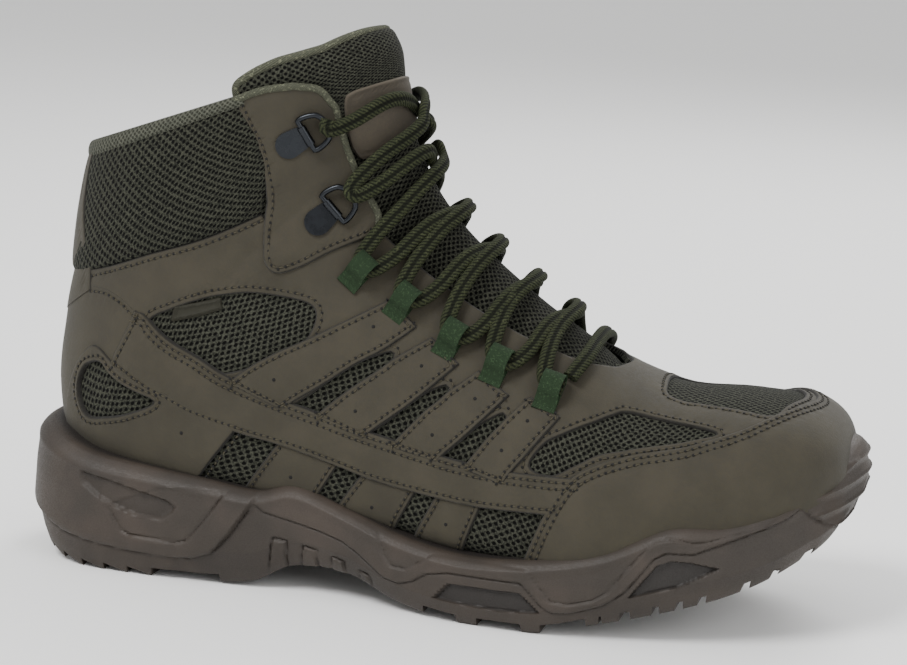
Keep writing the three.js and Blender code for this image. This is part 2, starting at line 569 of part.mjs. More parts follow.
function makeSole() {
  const core = soleForm(-RECESS_DEPTH, RECESS_DEPTH);
  let sole = soleForm(0).subtract(lastSolid(CLEARANCE, COLLAR));
  const sides = [-1, 1];
  const recesses = SIDE_RECESSES.flatMap(({ corners }) => (
    sides.map((side) => sidePrism(corners.map(sidePlace), side))));
  for (const level of BUMPER_RIBS) {
    const rib = [[0.965, level - RIB_HEIGHT], [1, level], [1, level + RIB_HEIGHT], [0.965, level]];
    recesses.push(sidePrism(rib.map(sidePlace), 0));
  }
  for (const recess of recesses) sole = sole.subtract(recess.subtract(core));
  for (const [centre, width] of LUG_GROOVES) sole = sole.subtract(lugGroove(centre, width));
  for (const channel of LUG_CHANNELS) sole = sole.subtract(lugChannel(...channel));
  return mainBody(sole);
}

function makeUpper() {
  const throat = [[17.6, 0.68], ...THROAT_TOP, ...THROAT_SIDE, ...THROAT_END];
  const bottomCut = patternPiece(acrossBack(LASTING_EDGE), -2 * UPPER_WALL, UPPER_WALL);
  const throatCut = patternPiece(acrossRidge(throat), -2 * UPPER_WALL, UPPER_WALL);
  const hollow = lastSolid(-UPPER_WALL, LAST_SECTION);
  return lastSolid(0, COLLAR).subtract(hollow).subtract(bottomCut).subtract(throatCut);
}

function makeInsole() {
  const top = UPPER_WALL + CLEARANCE + INSOLE_THICKNESS;
  return patternPiece(acrossBack(INSOLE_EDGE), -top, -UPPER_WALL - CLEARANCE);
}

function makeTongue() {
  const outer = -UPPER_WALL - CLEARANCE;
  return patternPiece(acrossRidge(TONGUE_EDGE), outer - TONGUE_THICKNESS, outer);
}

// A leather piece lies on the upper and ends above the rim of the sole.
const RIM_GAP = 1;
const rimCut = soleForm(CLEARANCE, RIM_GAP);
function leatherPiece(outline, { holes = [], seams = [], thickness = LEATHER } = {}) {
  return mainBody(patternPiece(outline, CLEARANCE, CLEARANCE + thickness, holes, seams).subtract(rimCut));
}

const TOE_CAP_SEAM = [...TOE_CAP_SIDE, ...TOE_CAP_TOP];
const BAND_TOP_SEAM = [...COUNTER_TOP, COUNTER_FRONT[0], ...BAND_TOP, TOE_CAP_TOP[0]];
const BAND_LOW_SEAM = [COUNTER_FRONT[2], ...BAND_LOW, TOE_CAP_SIDE[2]];
const CUFF_SEAM = [...CUFF_BACK, ...CUFF_CORNER, ...CUFF_FRONT];
const FLAP_SEAM = [...CUFF_CORNER, ...FLAP_LOW, THROAT_TOP[5]];
const VAMP_SEAM = [BAND_TOP[5], ...VAMP_BACK];

function makeToeCap() {
  const outline = acrossRidge([[0, 0.05], ...TOE_CAP_SEAM]);
  return leatherPiece(outline, { seams: [flat(TOE_CAP_SEAM), flat(innerSide(TOE_CAP_SEAM))] });
}

function makeVamp() {
  const front = [BAND_TOP[5], ...TOE_CAP_TOP];
  const back = [...VAMP_BACK, ...THROAT_END];
  const outline = flat([...front, ...reversed(innerSide(front)), ...innerSide(back), ...reversed(back)]);
  const holes = [flat(VAMP_WINDOW), flat(innerSide(VAMP_WINDOW)), acrossRidge(TOE_WINDOW)];
  const lines = [TOE_CAP_SEAM, BAND_TOP_SEAM, VAMP_SEAM];
  const seams = lines.flatMap((line) => [flat(line), flat(innerSide(line))]);
  return leatherPiece(outline, { holes, seams });
}

function makeQuarter(side) {
  const top = [...CUFF_BACK, ...CUFF_CORNER, ...FLAP_LOW, THROAT_TOP[5], ...THROAT_SIDE];
  const low = [...reversed(VAMP_BACK), ...reversed(BAND_TOP), COUNTER_FRONT[0], ...reversed(COUNTER_TOP)];
  const outline = [...top, ...low];
  const holes = [UPPER_WINDOW, ...SLOT_WINDOWS].map((line) => onSide(line, side));
  const seams = [CUFF_SEAM, FLAP_SEAM, VAMP_SEAM, BAND_TOP_SEAM].map((line) => onSide(line, side));
  return leatherPiece(onSide(outline, side), { holes, seams });
}

function makeBand(side) {
  const ends = [TOE_CAP_TOP[0], TOE_CAP_SIDE[2]];
  const outline = [...reversed(COUNTER_FRONT), ...BAND_TOP, ...ends, ...reversed(BAND_LOW)];
  const lines = [COUNTER_FRONT, BAND_TOP_SEAM, BAND_LOW_SEAM, TOE_CAP_SEAM];
  return leatherPiece(onSide(outline, side), { seams: lines.map((line) => onSide(line, side)) });
}

function makeCounter() {
  const outline = [...COUNTER_TOP, ...COUNTER_FRONT, ...BAND_LOW.slice(0, 2), [11.05, 0.1], [12.9, 0.02]];
  const lines = [COUNTER_TOP, [COUNTER_TOP[1], ...COUNTER_FRONT], BAND_LOW_SEAM];
  const seams = lines.flatMap((line) => [flat(line), flat(innerBack(line))]);
  const holes = [flat(HEEL_WINDOW), flat(innerBack(HEEL_WINDOW))];
  return leatherPiece(acrossBack(outline), { holes, seams });
}

function makeCuff() {
  const outline = [...CUFF_BACK, ...CUFF_CORNER, ...CUFF_FRONT];
  const seams = [flat(CUFF_SEAM), flat(innerBack(CUFF_SEAM))];
  return leatherPiece(acrossBack(outline), { seams, thickness: CUFF_PADDING });
}

function makeFlap(side) {
  const outline = [...THROAT_TOP, ...reversed(FLAP_LOW), ...CUFF_CORNER, ...CUFF_FRONT];
  return leatherPiece(onSide(outline, side), { seams: [onSide(FLAP_SEAM, side), onSide(CUFF_SEAM, side)] });
}

function makeTab({ corners }, side) {
  return leatherPiece(onSide(corners, side), { seams: [onSide(BAND_LOW_SEAM, side)] });
}

// The tangent plane at a place on the last, with round pointing up to the ridge.
const SECTION_PROBE = 0.25;
const GIRTH_PROBE = 0.05;
const ON_LEATHER = LEATHER + 2 * CLEARANCE;
function placeOn([section, girth], side, offset) {
  const at = (s, g, lift) => {
    const p = flatPoint(s, side < 0 ? g : 2 - g);
    return layOnLast(p.x, p.y, lift + bowed(p.x, p.y));
  };
  const point = at(section, girth, offset);
  const up = at(section, girth, offset + 1).sub(at(section, girth, offset)).normalize();
  const round = at(section, girth + GIRTH_PROBE, offset).sub(at(section, girth - GIRTH_PROBE, offset));
  round.addScaledVector(up, -round.dot(up)).normalize();
  return { point, up, round };
}

function makeLoop([section, girth], side) {
  const distance = (a, b) => placeOn(a, side, 0).point.distanceTo(placeOn(b, side, 0).point);
  const step = distance([section + SECTION_PROBE, girth], [section - SECTION_PROBE, girth]);
  const reach = distance([section, girth + GIRTH_PROBE], [section, girth - GIRTH_PROBE]);
  const halfRows = LOOP_WIDTH * SECTION_PROBE / step;
  const halfGirth = LOOP_LENGTH * GIRTH_PROBE / reach;
  const [low, high] = [girth - halfGirth, girth + halfGirth / 2];
  const corners = [[section - halfRows, low], [section + halfRows, low], [section + halfRows, high],
    [section - halfRows, high]];
  return patternPiece(onSide(corners, side), ON_LEATHER, ON_LEATHER + LOOP_THICKNESS);
}

// A flat shape laid in the tangent plane at a place, its x towards the ridge.
const CURVE_SEGMENTS = 3;
function plateOn(shape, thickness, frame, lift) {
  const options = { depth: thickness, bevelEnabled: false, curveSegments: CURVE_SEGMENTS };
  const geometry = new THREE.ExtrudeGeometry(shape, options);
  const across = new THREE.Vector3().crossVectors(frame.up, frame.round);
  const matrix = new THREE.Matrix4().makeBasis(frame.round, across, frame.up);
  matrix.setPosition(frame.point.clone().addScaledVector(frame.up, lift));
  geometry.applyMatrix4(matrix);
  return solidOf(geometry);
}

function ringShape(width, reach) {
  const corner = reach * 0.45;
  const shape = new THREE.Shape();
  shape.moveTo(0, -width / 2);
  shape.lineTo(reach - corner, -width / 2);
  shape.quadraticCurveTo(reach, -width / 2, reach, 0);
  shape.quadraticCurveTo(reach, width / 2, reach - corner, width / 2);
  shape.lineTo(0, width / 2);
  shape.closePath();
  return shape;
}

function makeHook(place, side) {
  const frame = placeOn(place, side, ON_LEATHER);
  const plate = new THREE.Shape();
  plate.moveTo(RING_WIRE, HOOK_WIDTH / 2);
  plate.lineTo(-HOOK_LENGTH / 2, HOOK_WIDTH / 2);
  plate.absarc(-HOOK_LENGTH / 2, 0, HOOK_WIDTH / 2, Math.PI / 2, 3 * Math.PI / 2, false);
  plate.lineTo(RING_WIRE, -HOOK_WIDTH / 2);
  plate.closePath();
  const ring = ringShape(RING_WIDTH, RING_REACH);
  const hole = ringShape(RING_WIDTH - 2 * RING_WIRE, RING_REACH - 2 * RING_WIRE);
  const inside = hole.getPoints(CURVE_SEGMENTS).map((p) => new THREE.Vector2(p.x + RING_WIRE, p.y));
  ring.holes.push(new THREE.Path(inside));
  const base = plateOn(plate, HOOK_THICKNESS + CLEARANCE, frame, CLEARANCE);
  return base.add(plateOn(ring, RING_WIRE, frame, HOOK_THICKNESS));
}

// The lace runs through each loop along the throat, then crosses to the next one up on the other side.
// It bends where the net does, so that it stays clear of the facets under it.
const LACE_SIDES = 5;
const LACE_LIFT = LACE_DIAMETER / 2 + CLEARANCE;
const RIDGE_LIFT = LACE_DIAMETER - UPPER_WALL - 3 * CLEARANCE;
const LOOP_LIFT = ON_LEATHER + LOOP_THICKNESS + LACE_LIFT;
const RING_LIFT = ON_LEATHER + HOOK_THICKNESS + 2 * RING_WIRE + LACE_LIFT;
const RING_END = 0.035;
const LOOP_TURN = 0.18;
const STEEP_END = 2 / HALF_GIRTH;
function laceRun(stops) {
  const frames = [];
  const across = (girth, side) => (side < 0 ? girth : 2 - girth);
  const addFrame = (section, girth, { girth: end, lift }) => {
    const steep = Math.min(Math.abs(girth - 1) / Math.min(STEEP_END, 1 - end), 1) ** 1.5;
    frames.push(placeOn([section, girth], -1, THREE.MathUtils.lerp(RIDGE_LIFT, lift, steep)));
  };
  stops.forEach((stop, n) => {
    const side = n % 2 ? 1 : -1;
    const from = across(stop.girth, side);
    for (const turn of [-LOOP_TURN, LOOP_TURN]) addFrame(stop.section + turn, from, stop);
    if (n + 1 === stops.length) return;
    const next = stops[n + 1];
    const to = across(next.girth, -side);
    for (let k = 1; k < COLUMNS; k++) {
      const column = across(k / HALF_GIRTH, side);
      if ((column - from) * (column - to) >= 0) continue;
      const t = (column - from) / (to - from);
      const section = THREE.MathUtils.lerp(stop.section + LOOP_TURN, next.section - LOOP_TURN, t);
      addFrame(section, column, t < 0.5 ? stop : next);
    }
  });
  return frames;
}

function cord(frames) {
  const points = [];
  const triangles = [];
  const last = frames.length - 1;
  frames.forEach(({ point, up }, n) => {
    const [next, before] = [frames[Math.min(n + 1, last)].point, frames[Math.max(n - 1, 0)].point];
    const along = next.clone().sub(before).normalize();
    const side = new THREE.Vector3().crossVectors(along, up).normalize();
    const top = new THREE.Vector3().crossVectors(side, along);
    for (let k = 0; k < LACE_SIDES; k++) {
      const angle = (k / LACE_SIDES) * 2 * Math.PI;
      points.push(point.clone().addScaledVector(side, LACE_DIAMETER / 2 * Math.sin(angle))
        .addScaledVector(top, LACE_DIAMETER / 2 * Math.cos(angle)));
    }
  });
  for (let n = 0; n < last; n++) {
    for (let k = 0; k < LACE_SIDES; k++) {
      const [a, b] = [n * LACE_SIDES + k, n * LACE_SIDES + (k + 1) % LACE_SIDES];
      triangles.push([a, b, b + LACE_SIDES], [a, b + LACE_SIDES, a + LACE_SIDES]);
    }
  }
  const end = last * LACE_SIDES;
  for (let k = 1; k + 1 < LACE_SIDES; k++) triangles.push([0, k + 1, k], [end, end + k, end + k + 1]);
  return solidFrom(points, triangles);
}

function makeLace() {
  const places = [
    ...LOOP_PLACES.map(([section, girth]) => ({ section, girth, lift: LOOP_LIFT })),
    ...HOOK_PLACES.map(([section, girth]) => ({ section, girth: girth + RING_END, lift: RING_LIFT })),
  ];
  return cord(laceRun([places[0], ...places])).add(cord(laceRun(places)));
}

function makePatch() {
  return patternPiece(acrossRidge(PATCH_EDGE), -UPPER_WALL, PATCH_THICKNESS - UPPER_WALL);
}

addPiece('outsole', makeSole(), materials.rubber);
addPiece('upper', makeUpper(), materials.mesh);
addPiece('insole', makeInsole(), materials.lining);
addPiece('tongue', makeTongue(), materials.mesh);
addPiece('tongue_patch', makePatch(), materials.leather);
addPiece('toe_cap', makeToeCap(), materials.leather);
addPiece('vamp', makeVamp(), materials.leather);
addPiece('heel_counter', makeCounter(), materials.leather);
addPiece('collar_cuff', makeCuff(), materials.mesh);
for (const [word, side] of [['outer', -1], ['inner', 1]]) {
  addPiece(`quarter_${word}`, makeQuarter(side), materials.leather);
  addPiece(`side_band_${word}`, makeBand(side), materials.leather);
  addPiece(`eyestay_${word}`, makeFlap(side), materials.leather);
  for (const tab of LOWER_TABS) {
    addPiece(`side_tab_${tab.name}_${word}`, makeTab(tab, side), materials.leather);
  }
  LOOP_PLACES.forEach((place, n) => {
    addPiece(`lace_loop_${n + 1}_${word}`, makeLoop(place, side), materials.webbing);
  });
  HOOK_PLACES.forEach((place, n) => {
    addPiece(`lace_ring_${n + 1}_${word}`, makeHook(place, side), materials.metal);
  });
}
addPiece('lace', makeLace(), materials.lace);

// The origin is the middle of the boot's footprint, on the floor.
const extent = new THREE.Box3().setFromObject(boot);
const middle = extent.getCenter(new THREE.Vector3());
for (const piece of boot.children) piece.position.set(-middle.x, -middle.y, -extent.min.z);

export default boot;
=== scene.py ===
# %% [markdown]
# # A laced tactical boot
# The boot is built piece by piece over its CAD frame: the rubber sole first, then the knitted mesh of
# the upper, the leather laid on it, the padded collar and tongue, and last the lace with its loops and
# rings. The leather pieces are cut flat, as a pattern cutter does, and then laid on the last, the
# foot-shaped form that a boot is built round. One function gives that form, so that all the pieces fit.

import json
import math

import bmesh
import bpy
import numpy as np
from mathutils import Matrix, Vector
from mathutils.bvhtree import BVHTree

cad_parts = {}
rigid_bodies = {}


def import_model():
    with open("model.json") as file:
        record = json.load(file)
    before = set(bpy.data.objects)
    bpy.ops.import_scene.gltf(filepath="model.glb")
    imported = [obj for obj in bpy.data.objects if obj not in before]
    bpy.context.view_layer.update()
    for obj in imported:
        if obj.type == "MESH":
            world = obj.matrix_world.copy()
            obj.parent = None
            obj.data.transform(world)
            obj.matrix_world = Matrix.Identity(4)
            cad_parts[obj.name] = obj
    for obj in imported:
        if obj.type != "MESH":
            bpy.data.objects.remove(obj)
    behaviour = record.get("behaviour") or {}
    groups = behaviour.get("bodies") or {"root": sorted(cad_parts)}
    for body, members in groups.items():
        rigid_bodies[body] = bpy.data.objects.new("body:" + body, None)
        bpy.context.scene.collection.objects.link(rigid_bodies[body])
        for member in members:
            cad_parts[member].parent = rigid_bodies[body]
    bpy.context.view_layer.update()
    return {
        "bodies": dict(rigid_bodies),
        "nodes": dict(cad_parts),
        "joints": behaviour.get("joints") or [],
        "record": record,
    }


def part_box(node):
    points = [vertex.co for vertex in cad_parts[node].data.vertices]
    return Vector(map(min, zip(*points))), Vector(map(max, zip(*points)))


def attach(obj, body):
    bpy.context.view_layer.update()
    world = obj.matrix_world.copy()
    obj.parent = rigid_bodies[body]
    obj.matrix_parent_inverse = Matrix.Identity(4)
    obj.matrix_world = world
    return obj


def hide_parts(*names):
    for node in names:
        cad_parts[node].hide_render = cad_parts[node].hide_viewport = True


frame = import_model()
MM = 0.001
print("CAD nodes:", len(frame["nodes"]))

# %% [markdown]
# ## Where the boot stands
# Sizes are in millimetres in the boot's own frame: x from the back of the heel to the toe, y towards the
# inner side of the foot, z up from the floor. The frame's outsole says where that lies in the row frame.

# %% Boot frame
SOLE_LENGTH = 305.0
BALL_WIDTH = 96.0
HEEL_HEIGHT = 28.0
SHAFT_HEIGHT = 121.0
MIDDLE_Y = 3.4505
heel_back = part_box("outsole")[0][0] / MM
to_frame = np.array([heel_back, MIDDLE_Y, 0.0])


def in_row_frame(points):
    return (np.asarray(points, float) + to_frame) * MM


print("heel at", round(heel_back, 2), "mm")

# %% [markdown]
# ## The last
# A last is described by slices. Each slice runs from a low point under or behind the foot to a high point
# on the ridge of the foot, and a smooth curve through the table gives the slices between. Girth runs from
# 0 at the bottom centre round the outer side to 1 on the ridge, and on to 2 round the inner side.

# %% Sections of the last
SECTION_COLUMNS = ["low_x", "low_z", "high_x", "high_z", "outer", "inner", "middle", "widest",
                   "low_round", "high_round", "drop"]
SECTIONS = [
    ["tip", 0.982, 0.182, 0.982, 0.182, 0, 0, 0.094, 0.45, 3, 2.2, 0],
    ["toe_round", 0.977, 0.157, 0.977, 0.281, 0.208, 0.167, 0.094, 0.45, 3, 2.6, 0],
    ["toe_front", 0.957, 0.107, 0.961, 0.364, 0.344, 0.292, 0.083, 0.45, 3.5, 2.8, 0],
    ["toe_cap", 0.918, 0.05, 0.921, 0.417, 0.438, 0.375, 0.062, 0.42, 5, 2.7, 0],
    ["toe_box", 0.856, -0.012, 0.859, 0.43, 0.5, 0.427, 0.042, 0.38, 6, 2.4, 0],
    ["vamp", 0.777, -0.062, 0.79, 0.43, 0.531, 0.448, 0.021, 0.34, 7, 2.1, 0],
    ["ball", 0.692, -0.095, 0.728, 0.479, 0.542, 0.458, 0, 0.3, 7, 1.9, 0],
    ["joint", 0.607, -0.091, 0.675, 0.57, 0.51, 0.438, 0, 0.28, 7, 1.8, 0],
    ["throat", 0.518, -0.066, 0.623, 0.653, 0.469, 0.406, 0, 0.27, 7, 1.7, 0],
    ["waist", 0.423, -0.033, 0.574, 0.744, 0.427, 0.375, 0, 0.27, 7, 1.65, 0],
    ["instep", 0.321, -0.008, 0.531, 0.835, 0.401, 0.354, 0, 0.28, 7, 1.65, 0],
    ["seat", 0.216, 0, 0.498, 0.926, 0.385, 0.354, 0, 0.3, 6, 1.7, 0],
    ["heel", 0.118, 0.008, 0.475, 1.017, 0.37, 0.344, 0, 0.34, 4.5, 1.75, 0],
    ["turn", 0.046, 0.083, 0.459, 1.107, 0.365, 0.344, 0, 0.38, 3, 1.8, 0],
    ["counter", 0.023, 0.264, 0.449, 1.182, 0.354, 0.344, 0, 0.42, 2.2, 1.9, 0.008],
    ["tendon", 0.03, 0.496, 0.443, 1.248, 0.354, 0.344, 0, 0.45, 2.1, 2, 0.017],
    ["ankle", 0.049, 0.744, 0.439, 1.306, 0.354, 0.344, 0, 0.47, 2.1, 2, 0.025],
    ["collar", 0.062, 1, 0.433, 1.355, 0.365, 0.344, 0, 0.48, 2.1, 2, 0.033],
    ["above", 0.066, 1.24, 0.416, 1.421, 0.365, 0.344, 0, 0.48, 2.1, 2, 0.033],
]
LAST_SECTION = len(SECTIONS) - 1
print("a section holds its name,", *SECTION_COLUMNS)


def curve_between(a, b, c, d, t):
    """A point on the smooth curve through b and c, t from 0 to 1 between them."""
    return 0.5 * (2 * b + (c - a) * t + (2 * a - 5 * b + 4 * c - d) * t ** 2 + (3 * b - a - 3 * c + d) * t
                  ** 3)


def smooth_rows(table, before, after, places):
    """Rows between the rows of a table, on a smooth curve."""
    rows = np.vstack([before, table, after, after])
    places = np.clip(np.asarray(places, float), 0, len(table) - 1)
    i = np.minimum(places.astype(int), len(table) - 2)
    t = (places - i)[:, None]
    return curve_between(rows[i], rows[i + 1], rows[i + 2], rows[i + 3], t)


section_table = np.array([row[1:] for row in SECTIONS], float)
tip_before = section_table[1].copy()
tip_before[4:6] *= -1


def height(share):
    return HEEL_HEIGHT + share * SHAFT_HEIGHT


def unit(vectors):
    """Vectors brought to length 1."""
    return vectors / np.maximum(np.linalg.norm(vectors, axis=-1, keepdims=True), 1e-9)


def lengths_along(points):
    """The way along a line from its first point to each of its points."""
    return np.concatenate([[0], np.cumsum(np.linalg.norm(np.diff(points, axis=0), axis=1))])


def half_section(row, side, count):
    """One half of a section, as points evenly spaced from the bottom centre to the ridge."""
    low_x, low_z, high_x, high_z, outer, inner, middle, widest, low_round, high_round, drop = row
    half = BALL_WIDTH * max(outer if side < 0 else inner, 0)
    angle = np.linspace(0, math.pi / 2, 96)
    low_along = widest * (1 - np.maximum(np.cos(angle), 0) ** (2 / low_round))
    high_along = widest + (1 - widest) * np.maximum(np.sin(angle), 0) ** (2 / high_round)
    along = np.concatenate([low_along, high_along[1:]])
    across = np.concatenate([np.sin(angle), np.cos(angle)[1:]])
    x = SOLE_LENGTH * (low_x + along * (high_x - low_x))
    z = height(low_z + along * (high_z - low_z)) - (SHAFT_HEIGHT * drop * across if side > 0 else 0)
    points = np.stack([x, BALL_WIDTH * middle + side * half * across, z], 1)
    steps = lengths_along(points)
    wanted = np.linspace(0, steps[-1], count + 1)
    return np.stack([np.interp(wanted, steps, points[:, k]) for k in range(3)], 1)


# %% [markdown]
# The sections are read into a net of points that is fine enough to be read between its points in a straight
# way. Its normals point out of the foot, and every piece is raised or sunk along them.

# %% Net of the last
ROW_STEPS = 12
GIRTH_STEPS = 96
net_places = np.linspace(0, LAST_SECTION, LAST_SECTION * ROW_STEPS + 1)
net = []
for row in smooth_rows(section_table, tip_before, section_table[-1], net_places):
    outer_half = half_section(row, -1, GIRTH_STEPS)
    inner_half = half_section(row, 1, GIRTH_STEPS)
    net.append(np.vstack([outer_half, inner_half[::-1][1:]]))
net = np.array(net)
along_net = np.gradient(net, axis=0)
round_net = np.roll(net[:, :-1], -1, axis=1) - np.roll(net[:, :-1], 1, axis=1)
net_normals = unit(np.cross(round_net, along_net[:, :-1]))
net_normals[0] = [1, 0, 0]
net_normals = np.concatenate([net_normals, net_normals[:, :1]], axis=1)
print("net of the last:", net.shape[0], "x", net.shape[1])


def read_net(grid, section, girth):
    """A value of the net between its points."""
    row = np.clip(np.asarray(section, float), 0, LAST_SECTION) * ROW_STEPS
    column = np.mod(np.asarray(girth, float), 2) * GIRTH_STEPS
    i = np.minimum(row.astype(int), grid.shape[0] - 2)
    j = np.minimum(column.astype(int), grid.shape[1] - 2)
    s, t = (row - i)[..., None], (column - j)[..., None]
    low = grid[i, j] * (1 - t) + grid[i, j + 1] * t
    high = grid[i + 1, j] * (1 - t) + grid[i + 1, j + 1] * t
    return low * (1 - s) + high * s


# %% [markdown]
# ## Creases
# Leather that has been bent on a foot keeps soft troughs where it flexes. They are placed one by one: each
# has a middle on the last, a half length along the girth, a half width along the sections and a depth.

# %% Creases, placed one by one
CREASE_COLUMNS = ["section", "girth", "slant", "half_length", "half_width", "depth"]
CREASES = [
    [6.25, 1.0, 0.0, 0.5, 0.13, 0.55],
    [5.75, 0.72, 1.2, 0.2, 0.12, 0.4],
    [5.75, 1.28, -1.2, 0.2, 0.12, 0.4],
    [13.4, 0.6, 1.0, 0.16, 0.2, 0.5],
    [12.5, 0.68, 1.5, 0.12, 0.16, 0.35],
    [13.4, 1.4, -1.0, 0.16, 0.2, 0.5],
    [14.3, 0.3, -2.0, 0.2, 0.25, 0.45],
    [14.3, 1.7, 2.0, 0.2, 0.25, 0.45],
]


def crease_depth(section, girth):
    depth = np.zeros(np.shape(section))
    for middle, girth_middle, slant, half_length, half_width, deep in CREASES:
        across = (girth - girth_middle) / half_length
        along = (section - middle - slant * (girth - girth_middle)) / half_width
        depth += deep * np.exp(-along ** 2 - across ** 2)
    return depth


def normals_at(section, girth):
    return unit(read_net(net_normals, section, girth))


def on_last(section, girth, lift=0.0):
    """Points on the last, raised along its normals."""
    section, girth = np.broadcast_arrays(np.asarray(section, float), np.asarray(girth, float))
    raised = (np.asarray(lift, float) - crease_depth(section, np.mod(girth, 2)))[..., None]
    return read_net(net, section, girth) + normals_at(section, girth) * raised


print("creases:", len(CREASES), "each with its", *CREASE_COLUMNS)


# %% [markdown]
# ## Helpers for lines, meshes and pieces
# A seam is drawn through a few points by a smooth curve. Distances to a seam are measured on the laid
# pattern, in real millimetres, so that edges roll over and stitches sit at their true distance.

# %% Lines
FLAT = np.array([18.0, 125.0])


def smooth_line(points, closed=False, steps=14):
    """A smooth curve through a few (section, girth) points."""
    points = np.array(points, float)
    if closed:
        before, after, last = points[-1:], points[:2], len(points)
    else:
        before, after, last = 2 * points[:1] - points[1:2], 2 * points[-1:] - points[-2:-1], len(points) - 1
    rows = np.vstack([before, points, after])
    curve = [curve_between(*rows[i:i + 4], t) for i in range(last) for t in np.arange(steps) / steps]
    if not closed:
        curve.append(points[-1])
    return np.array(curve)


def resample(points, pitch):
    """Points at an even pitch along a 3-D line."""
    lengths = lengths_along(points)
    count = max(int(round(lengths[-1] / pitch)), 1)
    wanted = np.linspace(0, lengths[-1], count + 1)
    return np.stack([np.interp(wanted, lengths, points[:, k]) for k in range(points.shape[1])], 1)


def distance_to(points, lines, chunk=2500):
    """Distance from each point to the nearest of some 3-D lines."""
    starts = np.vstack([line[:-1] for line in lines])
    spans = np.vstack([line[1:] for line in lines]) - starts
    squares = np.maximum((spans ** 2).sum(1), 1e-12)
    nearest = np.empty(len(points))
    for first in range(0, len(points), chunk):
        part = points[first:first + chunk, None] - starts
        t = np.clip((part * spans).sum(2) / squares, 0, 1)
        nearest[first:first + chunk] = np.sqrt(((part - t[..., None] * spans) ** 2).sum(2).min(1))
    return nearest


def inner_side(line):
    """The same line on the inner side, mirrored over the ridge."""
    line = np.array(line, float)
    return np.stack([line[:, 0], 2 - line[:, 1]], 1)


def round_back(line):
    """The same line on the inner side, mirrored over the bottom and the heel."""
    line = np.array(line, float)
    return np.stack([line[:, 0], -line[:, 1]], 1)


print("a section is", FLAT[0], "mm in the flat pattern, and half the girth is", FLAT[1], "mm")

# %% [markdown]
# Each piece is one mesh in the row frame, hung on the root body. It hides the CAD nodes it stands for, and it
# prints its triangles, so that the whole stays light.

# %% Meshes and pieces
def vertex_array(mesh):
    values = np.empty(len(mesh.vertices) * 3)
    mesh.vertices.foreach_get("co", values)
    return values.reshape(-1, 3)


def add_piece(mesh, name, material, nodes=()):
    """Puts a finished mesh in the scene with its material and the nodes it stands for."""
    mesh.materials.append(material)
    piece = bpy.data.objects.new(name, mesh)
    bpy.context.scene.collection.objects.link(piece)
    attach(piece, "root")
    if nodes:
        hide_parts(*nodes)
    print(name, "triangles", sum(len(p.vertices) - 2 for p in mesh.polygons))
    return piece


def finish_piece(bm, name, material, nodes=(), sharp=35.0):
    """Turns a bmesh whose points are in boot millimetres into a finished piece in the row frame."""
    bmesh.ops.recalc_face_normals(bm, faces=bm.faces)
    mesh = bpy.data.meshes.new(name)
    bm.to_mesh(mesh)
    bm.free()
    mesh.vertices.foreach_set("co", in_row_frame(vertex_array(mesh)).ravel())
    mesh.shade_smooth()
    mesh.set_sharp_from_angle(angle=math.radians(sharp))
    return add_piece(mesh, name, material, nodes)


def move_points(bm, points):
    for vert, point in zip(bm.verts, points):
        vert.co = point


def bm_points(bm):
    return np.array([vert.co[:] for vert in bm.verts])


def set_uv(bm, places):
    """Writes a UV map from one pair for each vertex."""
    layer = bm.loops.layers.uv.new("UVMap")
    for face in bm.faces:
        for loop in face.loops:
            loop[layer].uv = places[loop.vert.index]


def pattern_uv(section, girth):
    """UV places in centimetres of the flat pattern."""
    return np.stack([section, girth], 1) * FLAT / 10


def set_values(bm, name, values):
    layer = bm.verts.layers.float.new(name)
    for vert, value in zip(bm.verts, values):
        vert[layer] = value


def grid_mesh(rows, columns):
    """A flat grid whose point (i, j) is at x = i and y = j."""
    bm = bmesh.new()
    bmesh.ops.create_grid(bm, x_segments=rows - 1, y_segments=columns - 1, size=0.5)
    scale = Matrix.Diagonal((rows - 1, columns - 1, 1, 1))
    bmesh.ops.transform(bm, matrix=scale @ Matrix.Translation((0.5, 0.5, 0)), verts=bm.verts)
    bm.verts.index_update()
    return bm


def grid_index(bm):
    at = np.rint(bm_points(bm)[:, :2]).astype(int)
    return at[:, 0], at[:, 1]


def weld(bm, distance=0.004, fill=False):
    """Joins points that meet, and closes the open ends where fill says so."""
    bmesh.ops.remove_doubles(bm, verts=bm.verts, dist=distance)
    if fill:
        bmesh.ops.holes_fill(bm, edges=[edge for edge in bm.edges if edge.is_boundary], sides=0)


print("pieces ride on the root and print their triangles")

# %% [markdown]
# ## Materials
# Leather, rubber, cloth and metal differ in colour, in how they scatter light and in their grain. Each is
# a Principled shader with a bump made from noise in the boot's own coordinates, so that nothing is
# stretched, and the cloths read a UV map laid along the last, so that their holes follow the surface.

# %% Helpers for materials
def srgb(code):
    parts = [int(code[k:k + 2], 16) / 255 for k in (0, 2, 4)]
    return tuple(c / 12.92 if c <= 0.04045 else ((c + 0.055) / 1.055) ** 2.4 for c in parts) + (1,)


def shaded(code, share):
    return tuple(part * share for part in srgb(code)[:3]) + (1,)


